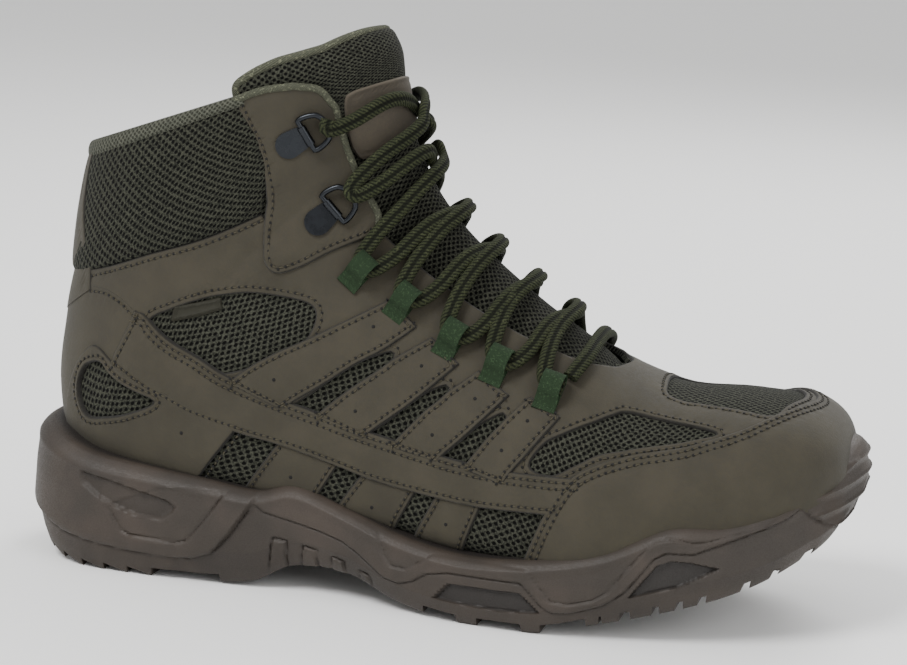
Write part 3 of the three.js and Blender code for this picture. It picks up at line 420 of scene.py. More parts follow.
class Finish:
    """A material in the making, with a few words for the nodes that this boot needs."""

    def __init__(self, name, color, roughness, **sockets):
        self.material = bpy.data.materials.new(name)
        self.material.use_nodes = True
        self.tree = self.material.node_tree
        self.shader = self.tree.nodes["Principled BSDF"]
        self.shader.inputs["Base Color"].default_value = srgb(color)
        self.shader.inputs["Roughness"].default_value = roughness
        for socket, value in sockets.items():
            self.shader.inputs[socket.replace("_", " ")].default_value = value
        self.material.diffuse_color = srgb(color)

    def node(self, kind, links=None, **values):
        made = self.tree.nodes.new("ShaderNode" + kind)
        for name, value in values.items():
            if name in made.bl_rna.properties:
                setattr(made, name, value)
            else:
                made.inputs[name.replace("_", " ")].default_value = value
        for name, source in (links or {}).items():
            self.tree.links.new(source, made.inputs[name])
        return made

    def place(self):
        return self.node("TexCoord").outputs["Object"]

    def uv(self):
        return self.node("UVMap", uv_map="UVMap").outputs["UV"]

    def value(self, name):
        return self.node("Attribute", attribute_name=name).outputs["Fac"]

    def noise(self, vector, scale, detail=3.0, rough=0.6):
        made = self.node("TexNoise", {"Vector": vector}, Scale=scale, Detail=detail, Roughness=rough)
        return made.outputs["Fac"]

    def curve(self, source, low, high, start=0.0, end=1.0):
        made = self.node("MapRange", {"Value": source}, From_Min=low, From_Max=high, To_Min=start, To_Max=end)
        made.interpolation_type = "SMOOTHSTEP"
        return made.outputs["Result"]

    def math(self, operation, a, b=None):
        made = self.node("Math", operation=operation)
        for socket, value in zip(made.inputs, (a, b)):
            if isinstance(value, (int, float)):
                socket.default_value = value
            elif value is not None:
                self.tree.links.new(value, socket)
        return made.outputs["Value"]

    def mix(self, share, a, b):
        made = self.node("Mix", data_type="RGBA")
        for socket, value in ((made.inputs[0], share), (made.inputs[6], a), (made.inputs[7], b)):
            if isinstance(value, (tuple, float, int)):
                socket.default_value = value
            else:
                self.tree.links.new(value, socket)
        return made.outputs[2]

    def color(self, source):
        self.tree.links.new(source, self.shader.inputs["Base Color"])

    def roughness(self, source):
        self.tree.links.new(source, self.shader.inputs["Roughness"])

    def bump(self, *layers):
        """Bump layers as (height, depth in millimetres, strength), the coarsest first."""
        normal = None
        for source, depth, strength in layers:
            links = {"Height": source}
            if normal is not None:
                links["Normal"] = normal
            normal = self.node("Bump", links, Distance=depth * MM, Strength=strength).outputs["Normal"]
        self.tree.links.new(normal, self.shader.inputs["Normal"])


print("a middle grey is", round(srgb("808080")[0], 3), "in linear light")

# %% [markdown]
# The overlays are nubuck, leather sanded on its outer face. It has a nap of fine fibres and soft clouds of
# tone, and its cut edges are painted darker: partly the darker cut edge itself, partly painted shade along
# the rolled edge. The value called edge holds each point's distance to the cut edge.

# %% Nubuck leather
DARK_CLOUD, PALE_CLOUD = 0.74, 1.24


def nubuck(name, color, cut):
    """Sanded leather: a fine nap, soft mottling and the cut colour along its edges, on the dark leather
    partly painted shade.
    """
    finish = Finish(name, color, 0.78, Sheen_Weight=0.05, Sheen_Roughness=0.6, Specular_IOR_Level=0.3)
    place = finish.place()
    mottle = finish.noise(place, 60, 4)
    nap = finish.noise(place, 900, 4, 0.7)
    pores = finish.noise(place, 2600, 2)
    # Painted shade, partly the darker cut edge: within about a millimetre of the edge the colour goes over to
    # the cut colour.
    edge = finish.curve(finish.value("edge"), 0.15, 0.85, 0.95, 0.0)
    shade = finish.math("ADD", finish.math("MULTIPLY", mottle, 0.5), finish.math("MULTIPLY", nap, 0.5))
    base = finish.mix(finish.curve(shade, 0.32, 0.68), shaded(color, DARK_CLOUD), shaded(color, PALE_CLOUD))
    finish.color(finish.mix(edge, base, srgb(cut)))
    finish.roughness(finish.curve(nap, 0.3, 0.7, 0.7, 0.86))
    finish.bump((nap, 0.16, 0.55), (pores, 0.06, 0.6))
    return finish.material


leather = nubuck("nubuck", "302C21", "12100C")
print("leather made")

# %% [markdown]
# The sole is matt moulded rubber, brown rather than black. Its deep places are painted darker, as painted
# shade together with the dust that stays in them, and the value called relief says how deep a point lies.
# Over the rim's top and in the hollow for the foot it holds a fixed deep value, so these are painted dark as
# painted shade.

# %% Rubber
rubber_finish = Finish("rubber", "3B332C", 0.62, Specular_IOR_Level=0.4)
rubber_place = rubber_finish.place()
rubber_fine = rubber_finish.noise(rubber_place, 2200, 3, 0.7)
rubber_cloud = rubber_finish.noise(rubber_place, 45, 3)
# Painted shade: the deeper the relief, the darker the rubber.
rubber_painted_shade = rubber_finish.curve(rubber_finish.value("relief"), -2.6, -0.2)
rubber_base = rubber_finish.mix(rubber_finish.curve(rubber_cloud, 0.3, 0.7), srgb("28221C"), srgb("342C25"))
rubber_finish.color(rubber_finish.mix(rubber_painted_shade, srgb("1C1815"), rubber_base))
rubber_finish.roughness(rubber_finish.curve(rubber_fine, 0.35, 0.65, 0.5, 0.72))
rubber_finish.bump((rubber_fine, 0.12, 0.5))
rubber = rubber_finish.material
print("rubber made")

# %% [markdown]
# The mesh is a spacer knit: two faces held apart by yarn, with rows of small holes. The holes are cells of a
# nearly regular pattern on the UV map, pressed in by a bump and painted near-black as painted shade inside
# them, and the yarn between them is slightly paler.

# %% Cloths with holes
UV_UNIT = 10


def knit(name, thread, hole, pitch, light):
    """A spacer mesh: rows of small holes through a ribbed knit, painted dark as painted shade, pitch in
    millimetres.
    """
    finish = Finish(name, thread, 0.9, Sheen_Weight=0.02, Specular_IOR_Level=0.12)
    turned = finish.node("Mapping", {"Vector": finish.uv()}, Rotation=(0, 0, math.radians(45)))
    holes = finish.node("TexVoronoi", {"Vector": turned.outputs["Vector"]}, voronoi_dimensions="2D",
                        Scale=UV_UNIT / pitch, Randomness=0.12)
    open_part = finish.curve(holes.outputs["Distance"], 0.24, 0.42)
    yarn = finish.noise(finish.place(), 1500, 2)
    tint = finish.mix(finish.curve(yarn, 0.35, 0.65), srgb(thread), srgb(light))
    # Painted shade: the holes take the dark hole colour.
    finish.color(finish.mix(open_part, srgb(hole), tint))
    finish.bump((open_part, 0.5, 0.8), (yarn, 0.1, 0.5))
    return finish.material


mesh_cloth = knit("dark mesh", "1E1F1A", "020201", 1.65, "3C3D34")
cuff_cloth = knit("cuff mesh", "1C1D18", "020201", 1.65, "383930")
lining_cloth = knit("lining", "40423A", "2A2B24", 1.1, "505147")
print("cloth materials made")


# %% [markdown]
# ## The sole
# The sole is one rubber moulding: lugs under the forefoot, a heel with saw-tooth lugs, an arch between
# them, a wall with steps and ribs, and a rim that holds the upper. It is a grid of stations along the boot
# by points round a closed loop: under the tread, up the outer wall, over the rim, along the hollow for the
# foot and down the inner wall. Two stations close together at each edge of a lug make its steep side.

# %% Stations and wall steps of the sole
SOLE_COLUMNS = ["x", "outer", "inner", "floor", "rim_outer", "rim_inner"]
SOLE_STATIONS = [
    ["heel_end", 0, 0, 0, 0.5, 0.182, 0.182],
    ["heel_back", 0.01, 0.185, 0.165, 0.32, 0.174, 0.174],
    ["heel_turn", 0.039, 0.33, 0.31, 0.1, 0.157, 0.157],
    ["heel", 0.092, 0.415, 0.395, 0, 0.124, 0.132],
    ["seat", 0.164, 0.44, 0.42, 0, 0.103, 0.116],
    ["seat_front", 0.243, 0.445, 0.415, 0, 0.083, 0.099],
    ["arch_back", 0.311, 0.45, 0.39, 0.1, 0.066, 0.099],
    ["arch", 0.361, 0.45, 0.375, 0.36, 0.091, 0.107],
    ["arch_front", 0.426, 0.475, 0.39, 0.36, 0.041, 0.074],
    ["fore_back", 0.492, 0.525, 0.42, 0.12, -0.008, 0.025],
    ["joint", 0.57, 0.573, 0.465, 0, -0.033, -0.008],
    ["ball", 0.656, 0.594, 0.51, 0, -0.017, 0],
    ["ball_front", 0.734, 0.583, 0.521, 0.2, 0.025, 0.033],
    ["vamp", 0.807, 0.557, 0.51, 0.41, 0.107, 0.099],
    ["toe_side", 0.872, 0.495, 0.505, 0.62, 0.124, 0.124],
    ["toe_turn", 0.931, 0.4, 0.47, 0.9, 0.174, 0.174],
    ["toe_round", 0.974, 0.24, 0.35, 1.18, 0.235, 0.235],
    ["toe_front", 0.993, 0.06, 0.24, 1.42, 0.295, 0.295],
    ["toe_end", 1, -0.094, 0.094, 1.61, 0.314, 0.314],
]
WALL_LEVELS = [0, 0.14, 0.34, 0.66, 0.88, 1]
WALL_OUT = [-0.9, -0.3, 0.3, 0.1, -0.2, -0.8]
SOLE_FLARE = 3.5
END_FLARE = SOLE_FLARE * max(WALL_OUT)

sole_table = np.array([row[1:] for row in SOLE_STATIONS], float)
before_heel, after_toe = sole_table[1].copy(), sole_table[-2].copy()
before_heel[1:3] = -sole_table[1][[2, 1]]
after_toe[1:3] = -sole_table[-2][[2, 1]]


def sole_rows(places):
    return smooth_rows(sole_table, before_heel, after_toe, places)


fine_places = np.linspace(0, len(sole_table) - 1, 3601)
fine_rows = sole_rows(fine_places)
fine_x = END_FLARE + np.clip(fine_rows[:, 0], 0, 1) * (SOLE_LENGTH - 2 * END_FLARE)


def tread_height(x):
    return np.interp(x, fine_x, np.maximum(fine_rows[:, 3], 0) * HEEL_HEIGHT)


print("a station of the sole holds its name,", *SOLE_COLUMNS)
print("sole stations:", len(sole_table), "length", round(fine_x[-1] - fine_x[0] + 2 * END_FLARE, 1))

# %% [markdown]
# The tread has saw-tooth lugs under the heel, plain blocks behind the arch and narrow lugs along both edges
# of the forefoot, with broader ones between channels inside. Where nothing stands, the base is higher.

# %% Lugs of the tread
BASE_RISE, TOOTH_HIGH, HEEL_BACK_RISE = 3.4, 2.9, 0.8
ARCH_START, ARCH_END = 100, 160
HEEL_TEETH = [(12.5, 19.0), (19.0, 28.0), (28.0, 37.3), (37.3, 46.8), (46.8, 56.5)]
SIDE_LUGS = [(82.5, 100.0), (173.0, 180.5), (196.5, 203.5), (219.0, 223.6), (224.6, 230.5), (234.0, 241.5),
             (244.0, 249.5), (252.0, 257.0), (259.5, 271.0), (273.5, 280.5), (283.0, 290.0), (293.0, 299.0)]
INNER_LUGS = [(57.5, 67.5), (70.5, 80.5), (83.5, 100.0), (163.0, 184.0), (189.0, 207.0), (212.0, 230.0),
              (234.5, 249.0), (253.0, 268.0), (272.0, 286.0)]
CHANNELS = [(15.0, 82.0, 0.33), (158.6, 287.0, 0.36), (158.6, 287.0, 0.69)]
CHANNEL_WIDTH = 0.042
EDGE_SHARE = 0.15


def rise_of_tread(x, share):
    """How far the tread stands above its lugs' feet. share goes from the inner side, 0, to the outer, 1."""
    x, share = np.broadcast_arrays(np.asarray(x, float), np.asarray(share, float))
    rise = np.where((x > ARCH_START) & (x < ARCH_END), 0.0, BASE_RISE)
    rise = np.where(x < HEEL_TEETH[0][0], HEEL_BACK_RISE, rise)
    for start, end in HEEL_TEETH:
        rise = np.where((x >= start) & (x < end), TOOTH_HIGH * (end - x) / (end - start), rise)
    beside = (share < EDGE_SHARE) | (share > 1 - EDGE_SHARE)
    for start, end in SIDE_LUGS:
        rise = np.where(beside & (x >= start) & (x <= end), 0.0, rise)
    for start, end in INNER_LUGS:
        rise = np.where(~beside & (x >= start) & (x <= end), 0.0, rise)
    for start, end, middle in CHANNELS:
        in_channel = (x > start) & (x < end) & (np.abs(share - middle) < CHANNEL_WIDTH / 2)
        rise = np.where(in_channel, BASE_RISE, rise)
    return rise


print("lugs:", len(HEEL_TEETH), "teeth,", len(SIDE_LUGS), "at each edge and", len(INNER_LUGS), "inside")

# %% [markdown]
# The wall's relief is drawn in side view, in real millimetres: recesses and raised fields as closed
# outlines, and moulded grooves as open lines. The inner side of the boot carries the same pattern, placed
# by its height between tread and rim.

# %% Relief of the sole's wall
HEEL_CUP_LINE = [(-4, 24), (8, 19), (15, 15.5), (22, 12.8), (33, 11), (50, 9.3), (66, 8.8), (73, 9.4),
                 (80, 12), (87, 20), (93, 29), (98, 37)]
HEEL_PANEL = [(40, 25.5), (43.5, 21), (46.5, 17), (49.5, 15.8), (60, 15.2), (67, 14.8), (71, 16), (76, 22),
              (85.5, 35.5)]
FOREFOOT_TOP = [(134, 31), (141, 29.5), (143, 27), (146, 20.5), (149, 17.2), (154, 17), (158, 19.3),
                (163.5, 23.5), (198, 23.2), (202, 18.2), (207, 13.2), (213, 12.8), (221, 14.8), (226, 18),
                (233, 27.5), (241, 37), (247, 38.5), (254, 37), (259, 37.8), (276, 43.5), (286, 50)]
FOREFOOT_LOW = [(96, 31.5), (99, 29.2), (111, 27), (121, 25), (129, 22.8), (135, 19.8), (141, 16),
                (146, 12.8), (152, 11.6), (157, 13.2), (162, 16.6), (170, 18.2), (196, 18.2), (199, 16),
                (204, 11), (208, 9.2), (214, 9.6), (225, 13.6), (232, 19), (241, 31), (245, 33.4),
                (254, 33.4), (268, 39), (282, 45), (291, 51)]
ARCH_RIBS = [[(101.6, 9), (103.2, 20.4), (108.4, 19.8), (107.6, 9)],
             [(112.6, 9), (114.6, 18.9), (119.6, 17.8), (118.8, 9)],
             [(124.2, 9), (125.4, 16.4), (129.8, 15.3), (130.4, 9)],
             [(135.4, 9), (136.4, 13), (139.8, 12), (140.4, 9)]]
RECESSES = [([(29, 36.5), (40, 34.6), (52, 32), (63, 29.4), (66, 27.6), (65, 25.4), (61, 22.8),
              (52, 23), (43, 25.4), (36, 28.6), (30, 32.5)], 1.7, 1.1),
            ([(165.5, 8.8), (170.5, 14.4), (196, 14.6), (203.5, 8.6), (190, 7.6), (176, 8)], 1.7, 0.6),
            ([(233.5, 17.2), (242.5, 29), (247, 30.6), (253, 30.4), (262.5, 28.6), (249, 21.6)], 1.7, 0.6)]
BUMPER = [(289, 66), (286.5, 58), (287.5, 50), (292, 44), (299, 40), (312, 34), (312, 70)]
BUMPER_RIBS = [[(289.5, 57.5), (309, 63)], [(289, 51.5), (309, 57)], [(291, 46), (309, 51)],
               [(295, 41.5), (309, 45.5)]]


def inside_of(points, outline):
    """Distance to a closed outline, positive inside it."""
    ring = np.array(list(outline) + [outline[0]], float)
    distance = distance_to(points, [ring])
    inside = np.zeros(len(points), bool)
    for (ax, ay), (bx, by) in zip(ring[:-1], ring[1:]):
        crosses = (ay > points[:, 1]) != (by > points[:, 1])
        at = ax + (points[:, 1] - ay) * (bx - ax) / (by - ay if by != ay else 1e-9)
        inside ^= crosses & (points[:, 0] < at)
    return np.where(inside, distance, -distance)


def soft_step(value, width):
    t = np.clip(value / width + 0.5, 0, 1)
    return t * t * (3 - 2 * t)


def groove(points, line, width):
    """A moulded groove with straight flanks, 1 at its bottom."""
    return np.clip(1 - distance_to(points, [np.array(line, float)]) / width, 0, 1)


FIELD_COLUMNS = ["line", "closing corners", "stand", "edge", "groove depth", "groove width", "end"]
UNDER_BAND = [(312, 51), (312, -9), (60, -9), (66, 8.8), *HEEL_CUP_LINE[7:-1]]
FIELDS = [
    [HEEL_CUP_LINE, [(98, 80), (-4, 80)], 1.1, 0.8, 0.9, 0.7, 400],
    [HEEL_PANEL, [(60, 34), (50, 30)], -0.5, 0.6, 0.9, 0.6, 400],
    [FOREFOOT_LOW, UNDER_BAND, -0.75, 0.6, 0.7, 0.6, 292],
    [FOREFOOT_TOP, [(286, 90), (134, 90)], -0.55, 0.6, 0.55, 0.6, 286],
    *[[rib, [], 0.6, 0.5, 1.0, 0.65, 400] for rib in ARCH_RIBS],
]
FIELD_FADE = 4
BUMPER_GROOVE, BUMPER_GROOVE_WIDTH = 0.8, 0.7
RIB_STAND, RIB_HALF, RIB_TOP_SHARE = 1.5, 2.6, 0.55
BEAD_STAND, BEAD_BELOW, BEAD_HALF, BEAD_END, BEAD_FADE = 0.7, 3.0, 2.2, 290, 6


def wall_relief(x, z, rim):
    """How far the wall stands out or in, at side view places."""
    points = np.stack([x, z], 1)
    relief = np.zeros(len(points))
    for line, closing, stand, edge, deep, width, end in FIELDS:
        inside = soft_step(inside_of(points, [*line, *closing]), edge)
        relief += stand * inside * soft_step(end - x, FIELD_FADE) - deep * groove(points, line, width)
    for outline, depth, edge in RECESSES:
        relief -= depth * soft_step(inside_of(points, outline), edge)
    on_bumper = soft_step(inside_of(points, BUMPER), 1.0)
    relief -= BUMPER_GROOVE * groove(points, BUMPER[:6], BUMPER_GROOVE_WIDTH)
    for rib in BUMPER_RIBS:
        slope = np.polyfit(*np.array(rib, float).T, 1)
        above = z - np.polyval(slope, x)
        ramp = np.clip(1 - np.abs(above) / RIB_HALF, 0, 1)
        relief += RIB_STAND * ramp * np.where(above < 0, 1, RIB_TOP_SHARE) * on_bumper
    bead = np.exp(-((rim - BEAD_BELOW - z) / BEAD_HALF) ** 2)
    return relief + BEAD_STAND * bead * soft_step(BEAD_END - x, BEAD_FADE)


print("fields of the wall:", len(FIELDS), "each with its", ", ".join(FIELD_COLUMNS))

# %% [markdown]
# The grid takes two stations close together where a lug begins or ends, and evenly spread ones between.
# Only the lowest steps of the wall follow the lugs, so that the wall above them stays smooth.

# %% The sole's grid
LUG_SLOPE, SHARE_SLOPE = 0.22, 0.003
STATION_COUNT, SHARE_COUNT = 440, 17
WALL_STEPS, FOOT_STEPS = 60, 4
HOLLOW_STEPS = 9
FOOT_SHARE, FOOT_OVER = 0.3, 0.5
RIM_ROUND, RIM_ROUND_FROM, FOOT_ROUND, FOOT_ROUND_TO = 1.6, 0.93, 0.5, 0.05
WALL_STAND = 0.35
RELIEF_FADE, DEEPEST, HIGHEST = 0.12, -2.6, 1.8
# Painted shade: the value given to the rim's top and the hollow for the foot, so that the rubber is painted
# dark there.
RIM_SHADE = -2.4
lug_edges = [x for span in HEEL_TEETH + SIDE_LUGS + INNER_LUGS + [c[:2] for c in CHANNELS] for x in span]
lug_edges = [x + shift for x in lug_edges for shift in (-LUG_SLOPE, LUG_SLOPE)]
edge_places = np.interp(lug_edges, fine_x, fine_places)
places = np.unique(np.round(np.concatenate([np.linspace(0, len(sole_table) - 1, STATION_COUNT),
                                            edge_places]), 4))
rows = sole_rows(places)
station_x = np.interp(places, fine_places, fine_x)
STATIONS = len(places)

share_edges = [EDGE_SHARE, 1 - EDGE_SHARE]
share_edges += [channel[2] + side * CHANNEL_WIDTH / 2 for channel in CHANNELS for side in (-1, 1)]
share_edges = [edge + shift for edge in share_edges for shift in (-SHARE_SLOPE, SHARE_SLOPE)]
tread_shares = np.unique(np.round(np.concatenate([np.linspace(0, 1, SHARE_COUNT), share_edges]), 4))[1:-1]
outline_x = np.concatenate([station_x, station_x[-2:0:-1]])
outline_y = np.concatenate([-rows[:, 1], rows[-2:0:-1, 2]]) * BALL_WIDTH
ahead = np.stack([np.roll(outline_x, -1) - np.roll(outline_x, 1),
                  np.roll(outline_y, -1) - np.roll(outline_y, 1)], 1)
outwards = unit(np.stack([ahead[:, 1], -ahead[:, 0]], 1))

last_verts = [Vector(p) for p in net.reshape(-1, 3)]
columns = net.shape[1]
last_faces = [(i * columns + j, i * columns + j + 1, (i + 1) * columns + j + 1, (i + 1) * columns + j)
              for i in range(net.shape[0] - 1) for j in range(columns - 1)]
last_tree = BVHTree.FromPolygons(last_verts, last_faces)


def ups_at(points):
    """The direction out of the last near each point."""
    return np.array([last_tree.find_nearest(Vector(point))[1][:] for point in points])


def side_wall(side):
    """Points of one side's wall and rim as an array of stations by steps, with their relief."""
    pick = np.arange(STATIONS) if side < 0 else (2 * STATIONS - 2 - np.arange(STATIONS)) % (2 * STATIONS - 2)
    x, y, out = outline_x[pick], outline_y[pick], outwards[pick]
    tread = tread_height(station_x)
    rim = height(rows[:, 4 if side < 0 else 5])
    outer_rim = height(rows[:, 4])
    rise = rise_of_tread(station_x, 1.0 if side < 0 else 0.0)
    foot = np.clip(BASE_RISE + FOOT_OVER, 0, FOOT_SHARE * (rim - tread))
    rise = np.minimum(rise, foot - 0.4)
    share = np.linspace(0, 1, WALL_STEPS - FOOT_STEPS)
    foot_steps = np.linspace(0, 1, FOOT_STEPS, endpoint=False)
    z = np.hstack([(tread + rise)[:, None] + (foot - rise)[:, None] * foot_steps,
                   (tread + foot)[:, None] + share * (rim - tread - foot)[:, None]])
    level = (z - tread[:, None]) / (rim - tread)[:, None]
    at_rim = np.clip((level - RIM_ROUND_FROM) / (1 - RIM_ROUND_FROM), 0, 1)
    at_foot = np.clip(1 - level / FOOT_ROUND_TO, 0, 1)
    round_edge = -RIM_ROUND * at_rim ** 2 - FOOT_ROUND * at_foot ** 2
    stand = np.interp(level, WALL_LEVELS, WALL_OUT) * SOLE_FLARE + round_edge + WALL_STAND
    drawn_z = tread[:, None] + level * (outer_rim - tread)[:, None]
    relief = wall_relief(np.repeat(station_x, WALL_STEPS), drawn_z.ravel(),
                         np.repeat(outer_rim, WALL_STEPS)).reshape(z.shape)
    relief *= np.clip((1 - level) / RELIEF_FADE, 0, 1)
    stand = stand + np.clip(relief, DEEPEST, HIGHEST)
    points = np.stack([x[:, None] + out[:, :1] * stand, y[:, None] + out[:, 1:] * stand, z], 2)
    return points, relief, out


print("stations on the grid:", STATIONS, "shares across the tread:", len(tread_shares))

# %% [markdown]
# Each station gives one closed loop of points. Its rim ends where it meets the last, found by a level
# ray, and the hollow for the foot is found by rays from below, so that the rubber follows the upper.

# %% Build the sole
outer_wall, outer_relief, outer_out = side_wall(-1)
inner_wall, inner_relief, inner_out = side_wall(1)


def rim_inside(wall, out):
    """Where the rim's top meets the last."""
    points = []
    for top, direction in zip(wall[:, -1], out):
        ray = Vector((-direction[0], -direction[1], 0))
        hit = last_tree.ray_cast(Vector(top) - ray * 2, ray, 30)[0]
        points.append(hit[:] if hit else last_tree.find_nearest(Vector(top))[0][:])
    return np.array(points)


def under_last(x, y, fallback):
    hit = last_tree.ray_cast(Vector((x, y, -20)), Vector((0, 0, 1)), 200)[0]
    return min(hit[2] - 0.3, fallback) if hit else fallback


loop = []
shade_by_relief = []
outer_inside, inner_inside = rim_inside(outer_wall, outer_out), rim_inside(inner_wall, inner_out)
for n in range(STATIONS):
    start, end = inner_wall[n, 0], outer_wall[n, 0]
    tread = tread_height(station_x[n])
    across = np.array([start + (end - start) * share for share in tread_shares])
    raised = np.minimum(rise_of_tread(station_x[n], tread_shares),
                        FOOT_SHARE * (outer_wall[n, -1, 2] - tread))
    across[:, 2] = tread + raised
    rim_over = [outer_wall[n, -1] * (1 - t) + outer_inside[n] * t for t in (0.5, 1.0)]
    hollow = []
    for t in np.linspace(0.02, 0.98, HOLLOW_STEPS):
        point = outer_inside[n] * (1 - t) + inner_inside[n] * t
        hollow.append([point[0], point[1], under_last(point[0], point[1], point[2])])
    rim_back = [inner_wall[n, -1] * (1 - t) + inner_inside[n] * t for t in (1.0, 0.5)]
    loop.append(np.vstack([across, outer_wall[n], rim_over, hollow, rim_back, inner_wall[n][::-1]]))
    # Painted shade: the tread between the lugs is painted darker by its rise, and the rim's top and the
    # hollow for the foot by RIM_SHADE.
    tread_shade_depth = -0.3 * raised
    rim_and_hollow_shade = np.full(4 + HOLLOW_STEPS, RIM_SHADE)
    shade_by_relief.append(np.concatenate([tread_shade_depth, outer_relief[n], rim_and_hollow_shade, inner_relief[n][::-1]]))
loop = np.array(loop)
shade_by_relief = np.array(shade_by_relief)
loop = np.concatenate([loop, loop[:, :1]], axis=1)
shade_by_relief = np.concatenate([shade_by_relief, shade_by_relief[:, :1]], axis=1)

bm = grid_mesh(loop.shape[0], loop.shape[1])
i, j = grid_index(bm)
set_values(bm, "relief", shade_by_relief[i, j])
move_points(bm, loop[i, j])
weld(bm)
finish_piece(bm, "sole", rubber, ["outsole"], sharp=42)

# %% [markdown]
# ## The upper
# Under the leather lies one shell of dark mesh. It is a grid that goes round the foot from one edge of the
# throat, under the sole and up to the other edge, and then back along the inside, so that the cloth has
# its thickness. In front of the throat the two edges meet on the ridge and are welded.

# %% The mesh shell
THROAT = [(6.1, 1.0), (6.4, 0.9), (7, 0.835), (9, 0.81), (11.5, 0.815), (14, 0.81), (16, 0.765),
          (16.7, 0.715), (17, 0.665)]
throat_rows, throat_girths = np.array(THROAT).T
CLOTH = 1.8
shell_rows = np.concatenate([np.linspace(0, 16.9, 118), [16.95, 17.0, 17.02]])
SHELL_ROUND = 110
outer_shares = np.linspace(-1, 1, SHELL_ROUND + 1)
shell_shares = np.concatenate([outer_shares, outer_shares[::-1], outer_shares[:1]])
shell_lifts = np.concatenate([np.zeros(SHELL_ROUND + 1), np.full(SHELL_ROUND + 1, -CLOTH), [0]])
bm = grid_mesh(len(shell_rows), len(shell_shares))
closed_toe = np.searchsorted(shell_rows, THROAT[0][0])
walls = [f for f in bm.faces
         if f.calc_center_median().x < closed_toe - 1
         and abs(f.calc_center_median().y % (SHELL_ROUND + 1) - SHELL_ROUND - 0.5) < 0.1]
bmesh.ops.delete(bm, geom=walls, context="FACES")
bm.verts.index_update()
i, j = grid_index(bm)
section = shell_rows[i]
side_share = shell_shares[j]
edge = np.interp(section, throat_rows, throat_girths)
girth = np.where(side_share < 0, 2 + side_share * edge, side_share * edge)
lift = shell_lifts[j] + np.where(section > 17.01, np.where(shell_lifts[j] < 0, CLOTH / 2, -CLOTH / 2), 0)
set_uv(bm, pattern_uv(section, side_share * edge))
move_points(bm, on_last(section, girth, lift))
weld(bm)
finish_piece(bm, "upper_shell", mesh_cloth, ["upper"], sharp=50)

# %% [markdown]
# ## Lines of the pattern
# These are the seams of the boot, as pairs of section and girth on the outer side. A line that belongs to
# a piece across the ridge or round the heel is joined to its mirror image.

# %% Seams
TOE_CAP_EDGE = [(6.84, 0.05), (6.76, 0.2), (6.62, 0.4), (6.5, 0.5), (6.38, 0.55), (6.2, 0.59), (5.83, 0.63),
                (5.33, 0.66), (4.57, 0.68), (3.82, 0.72), (3.25, 0.8), (2.86, 0.9), (2.72, 1)]
BAND_TOP = [(14.12, 0.335), (13.78, 0.37), (12.73, 0.427), (11.92, 0.44), (10.53, 0.45), (9.43, 0.462),
            (8.33, 0.49), (7.18, 0.53), (6.2, 0.575)]
BAND_LOW = [(13.57, 0.265), (13.1, 0.3), (12.43, 0.325), (11.78, 0.333), (11.05, 0.34), (10.4, 0.35),
            (9.5, 0.358), (8.93, 0.365), (8.15, 0.395), (7.53, 0.42), (6.4, 0.475)]
COUNTER_TOP = [(15.32, 0.0), (15.27, 0.1), (14.95, 0.22), (14.55, 0.29), (14.12, 0.335)]
COUNTER_FRONT = [(14.12, 0.335), (13.9, 0.315), (13.57, 0.265)]
CUFF_LOW = [(15.55, 0.0), (15.42, 0.1), (15.2, 0.23), (14.9, 0.37), (14.5, 0.5), (14.1, 0.64)]
FLAP_BACK = [(17.03, 0.548), (16.48, 0.575), (15.72, 0.615), (15, 0.64), (14.3, 0.652)]
FLAP_LOW = [(14.3, 0.652), (13.6, 0.64), (13.0, 0.63), (12.62, 0.64), (12.35, 0.68), (12.1, 0.74),
            (11.75, 0.8), (11.65, 0.825)]
FLAP_FRONT = [(11.65, 0.825), (12.1, 0.845), (13.2, 0.842), (14, 0.832), (15.5, 0.8), (16, 0.78),
              (16.6, 0.745), (16.92, 0.69)]
FLAP_TOP = [(16.92, 0.69), (17.05, 0.62), (17.03, 0.548)]
QUARTER_FRONT = [(11.65, 0.825), (10, 0.825), (9, 0.822), (8, 0.828), (7.15, 0.84), (6.95, 0.845)]
VAMP_BACK = [(7.22, 0.525), (7.02, 0.62), (6.93, 0.72), (6.93, 0.845)]
VAMP_THROAT = [(6.93, 0.845), (6.6, 0.87), (6.3, 0.91), (6.15, 0.96), (6.1, 1)]
UPPER_WINDOW = [(13.74, 0.37), (13.6, 0.43), (13.36, 0.49), (13.1, 0.535), (12.7, 0.582), (12.1, 0.622),
                (11.62, 0.64), (11.34, 0.628), (11.18, 0.585), (11.25, 0.54), (11.52, 0.49), (11.9, 0.44),
                (12.2, 0.42), (12.73, 0.405), (13.28, 0.38)]
SLOTS = [[(10.6, 0.43), (10.42, 0.42), (10.2, 0.43), (10.08, 0.505), (9.95, 0.552), (9.8, 0.6),
          (9.74, 0.633), (9.82, 0.64), (9.98, 0.618), (10.15, 0.588), (10.3, 0.549), (10.42, 0.5)],
         [(9.4, 0.445), (9.2, 0.44), (9.03, 0.45), (8.93, 0.516), (8.84, 0.562), (8.73, 0.6), (8.68, 0.625),
          (8.77, 0.632), (8.97, 0.596), (9.12, 0.552), (9.25, 0.5)],
         [(8.3, 0.48), (8.1, 0.475), (7.93, 0.485), (7.8, 0.566), (7.69, 0.61), (7.65, 0.63), (7.74, 0.637),
          (7.98, 0.592), (8.14, 0.539)]]
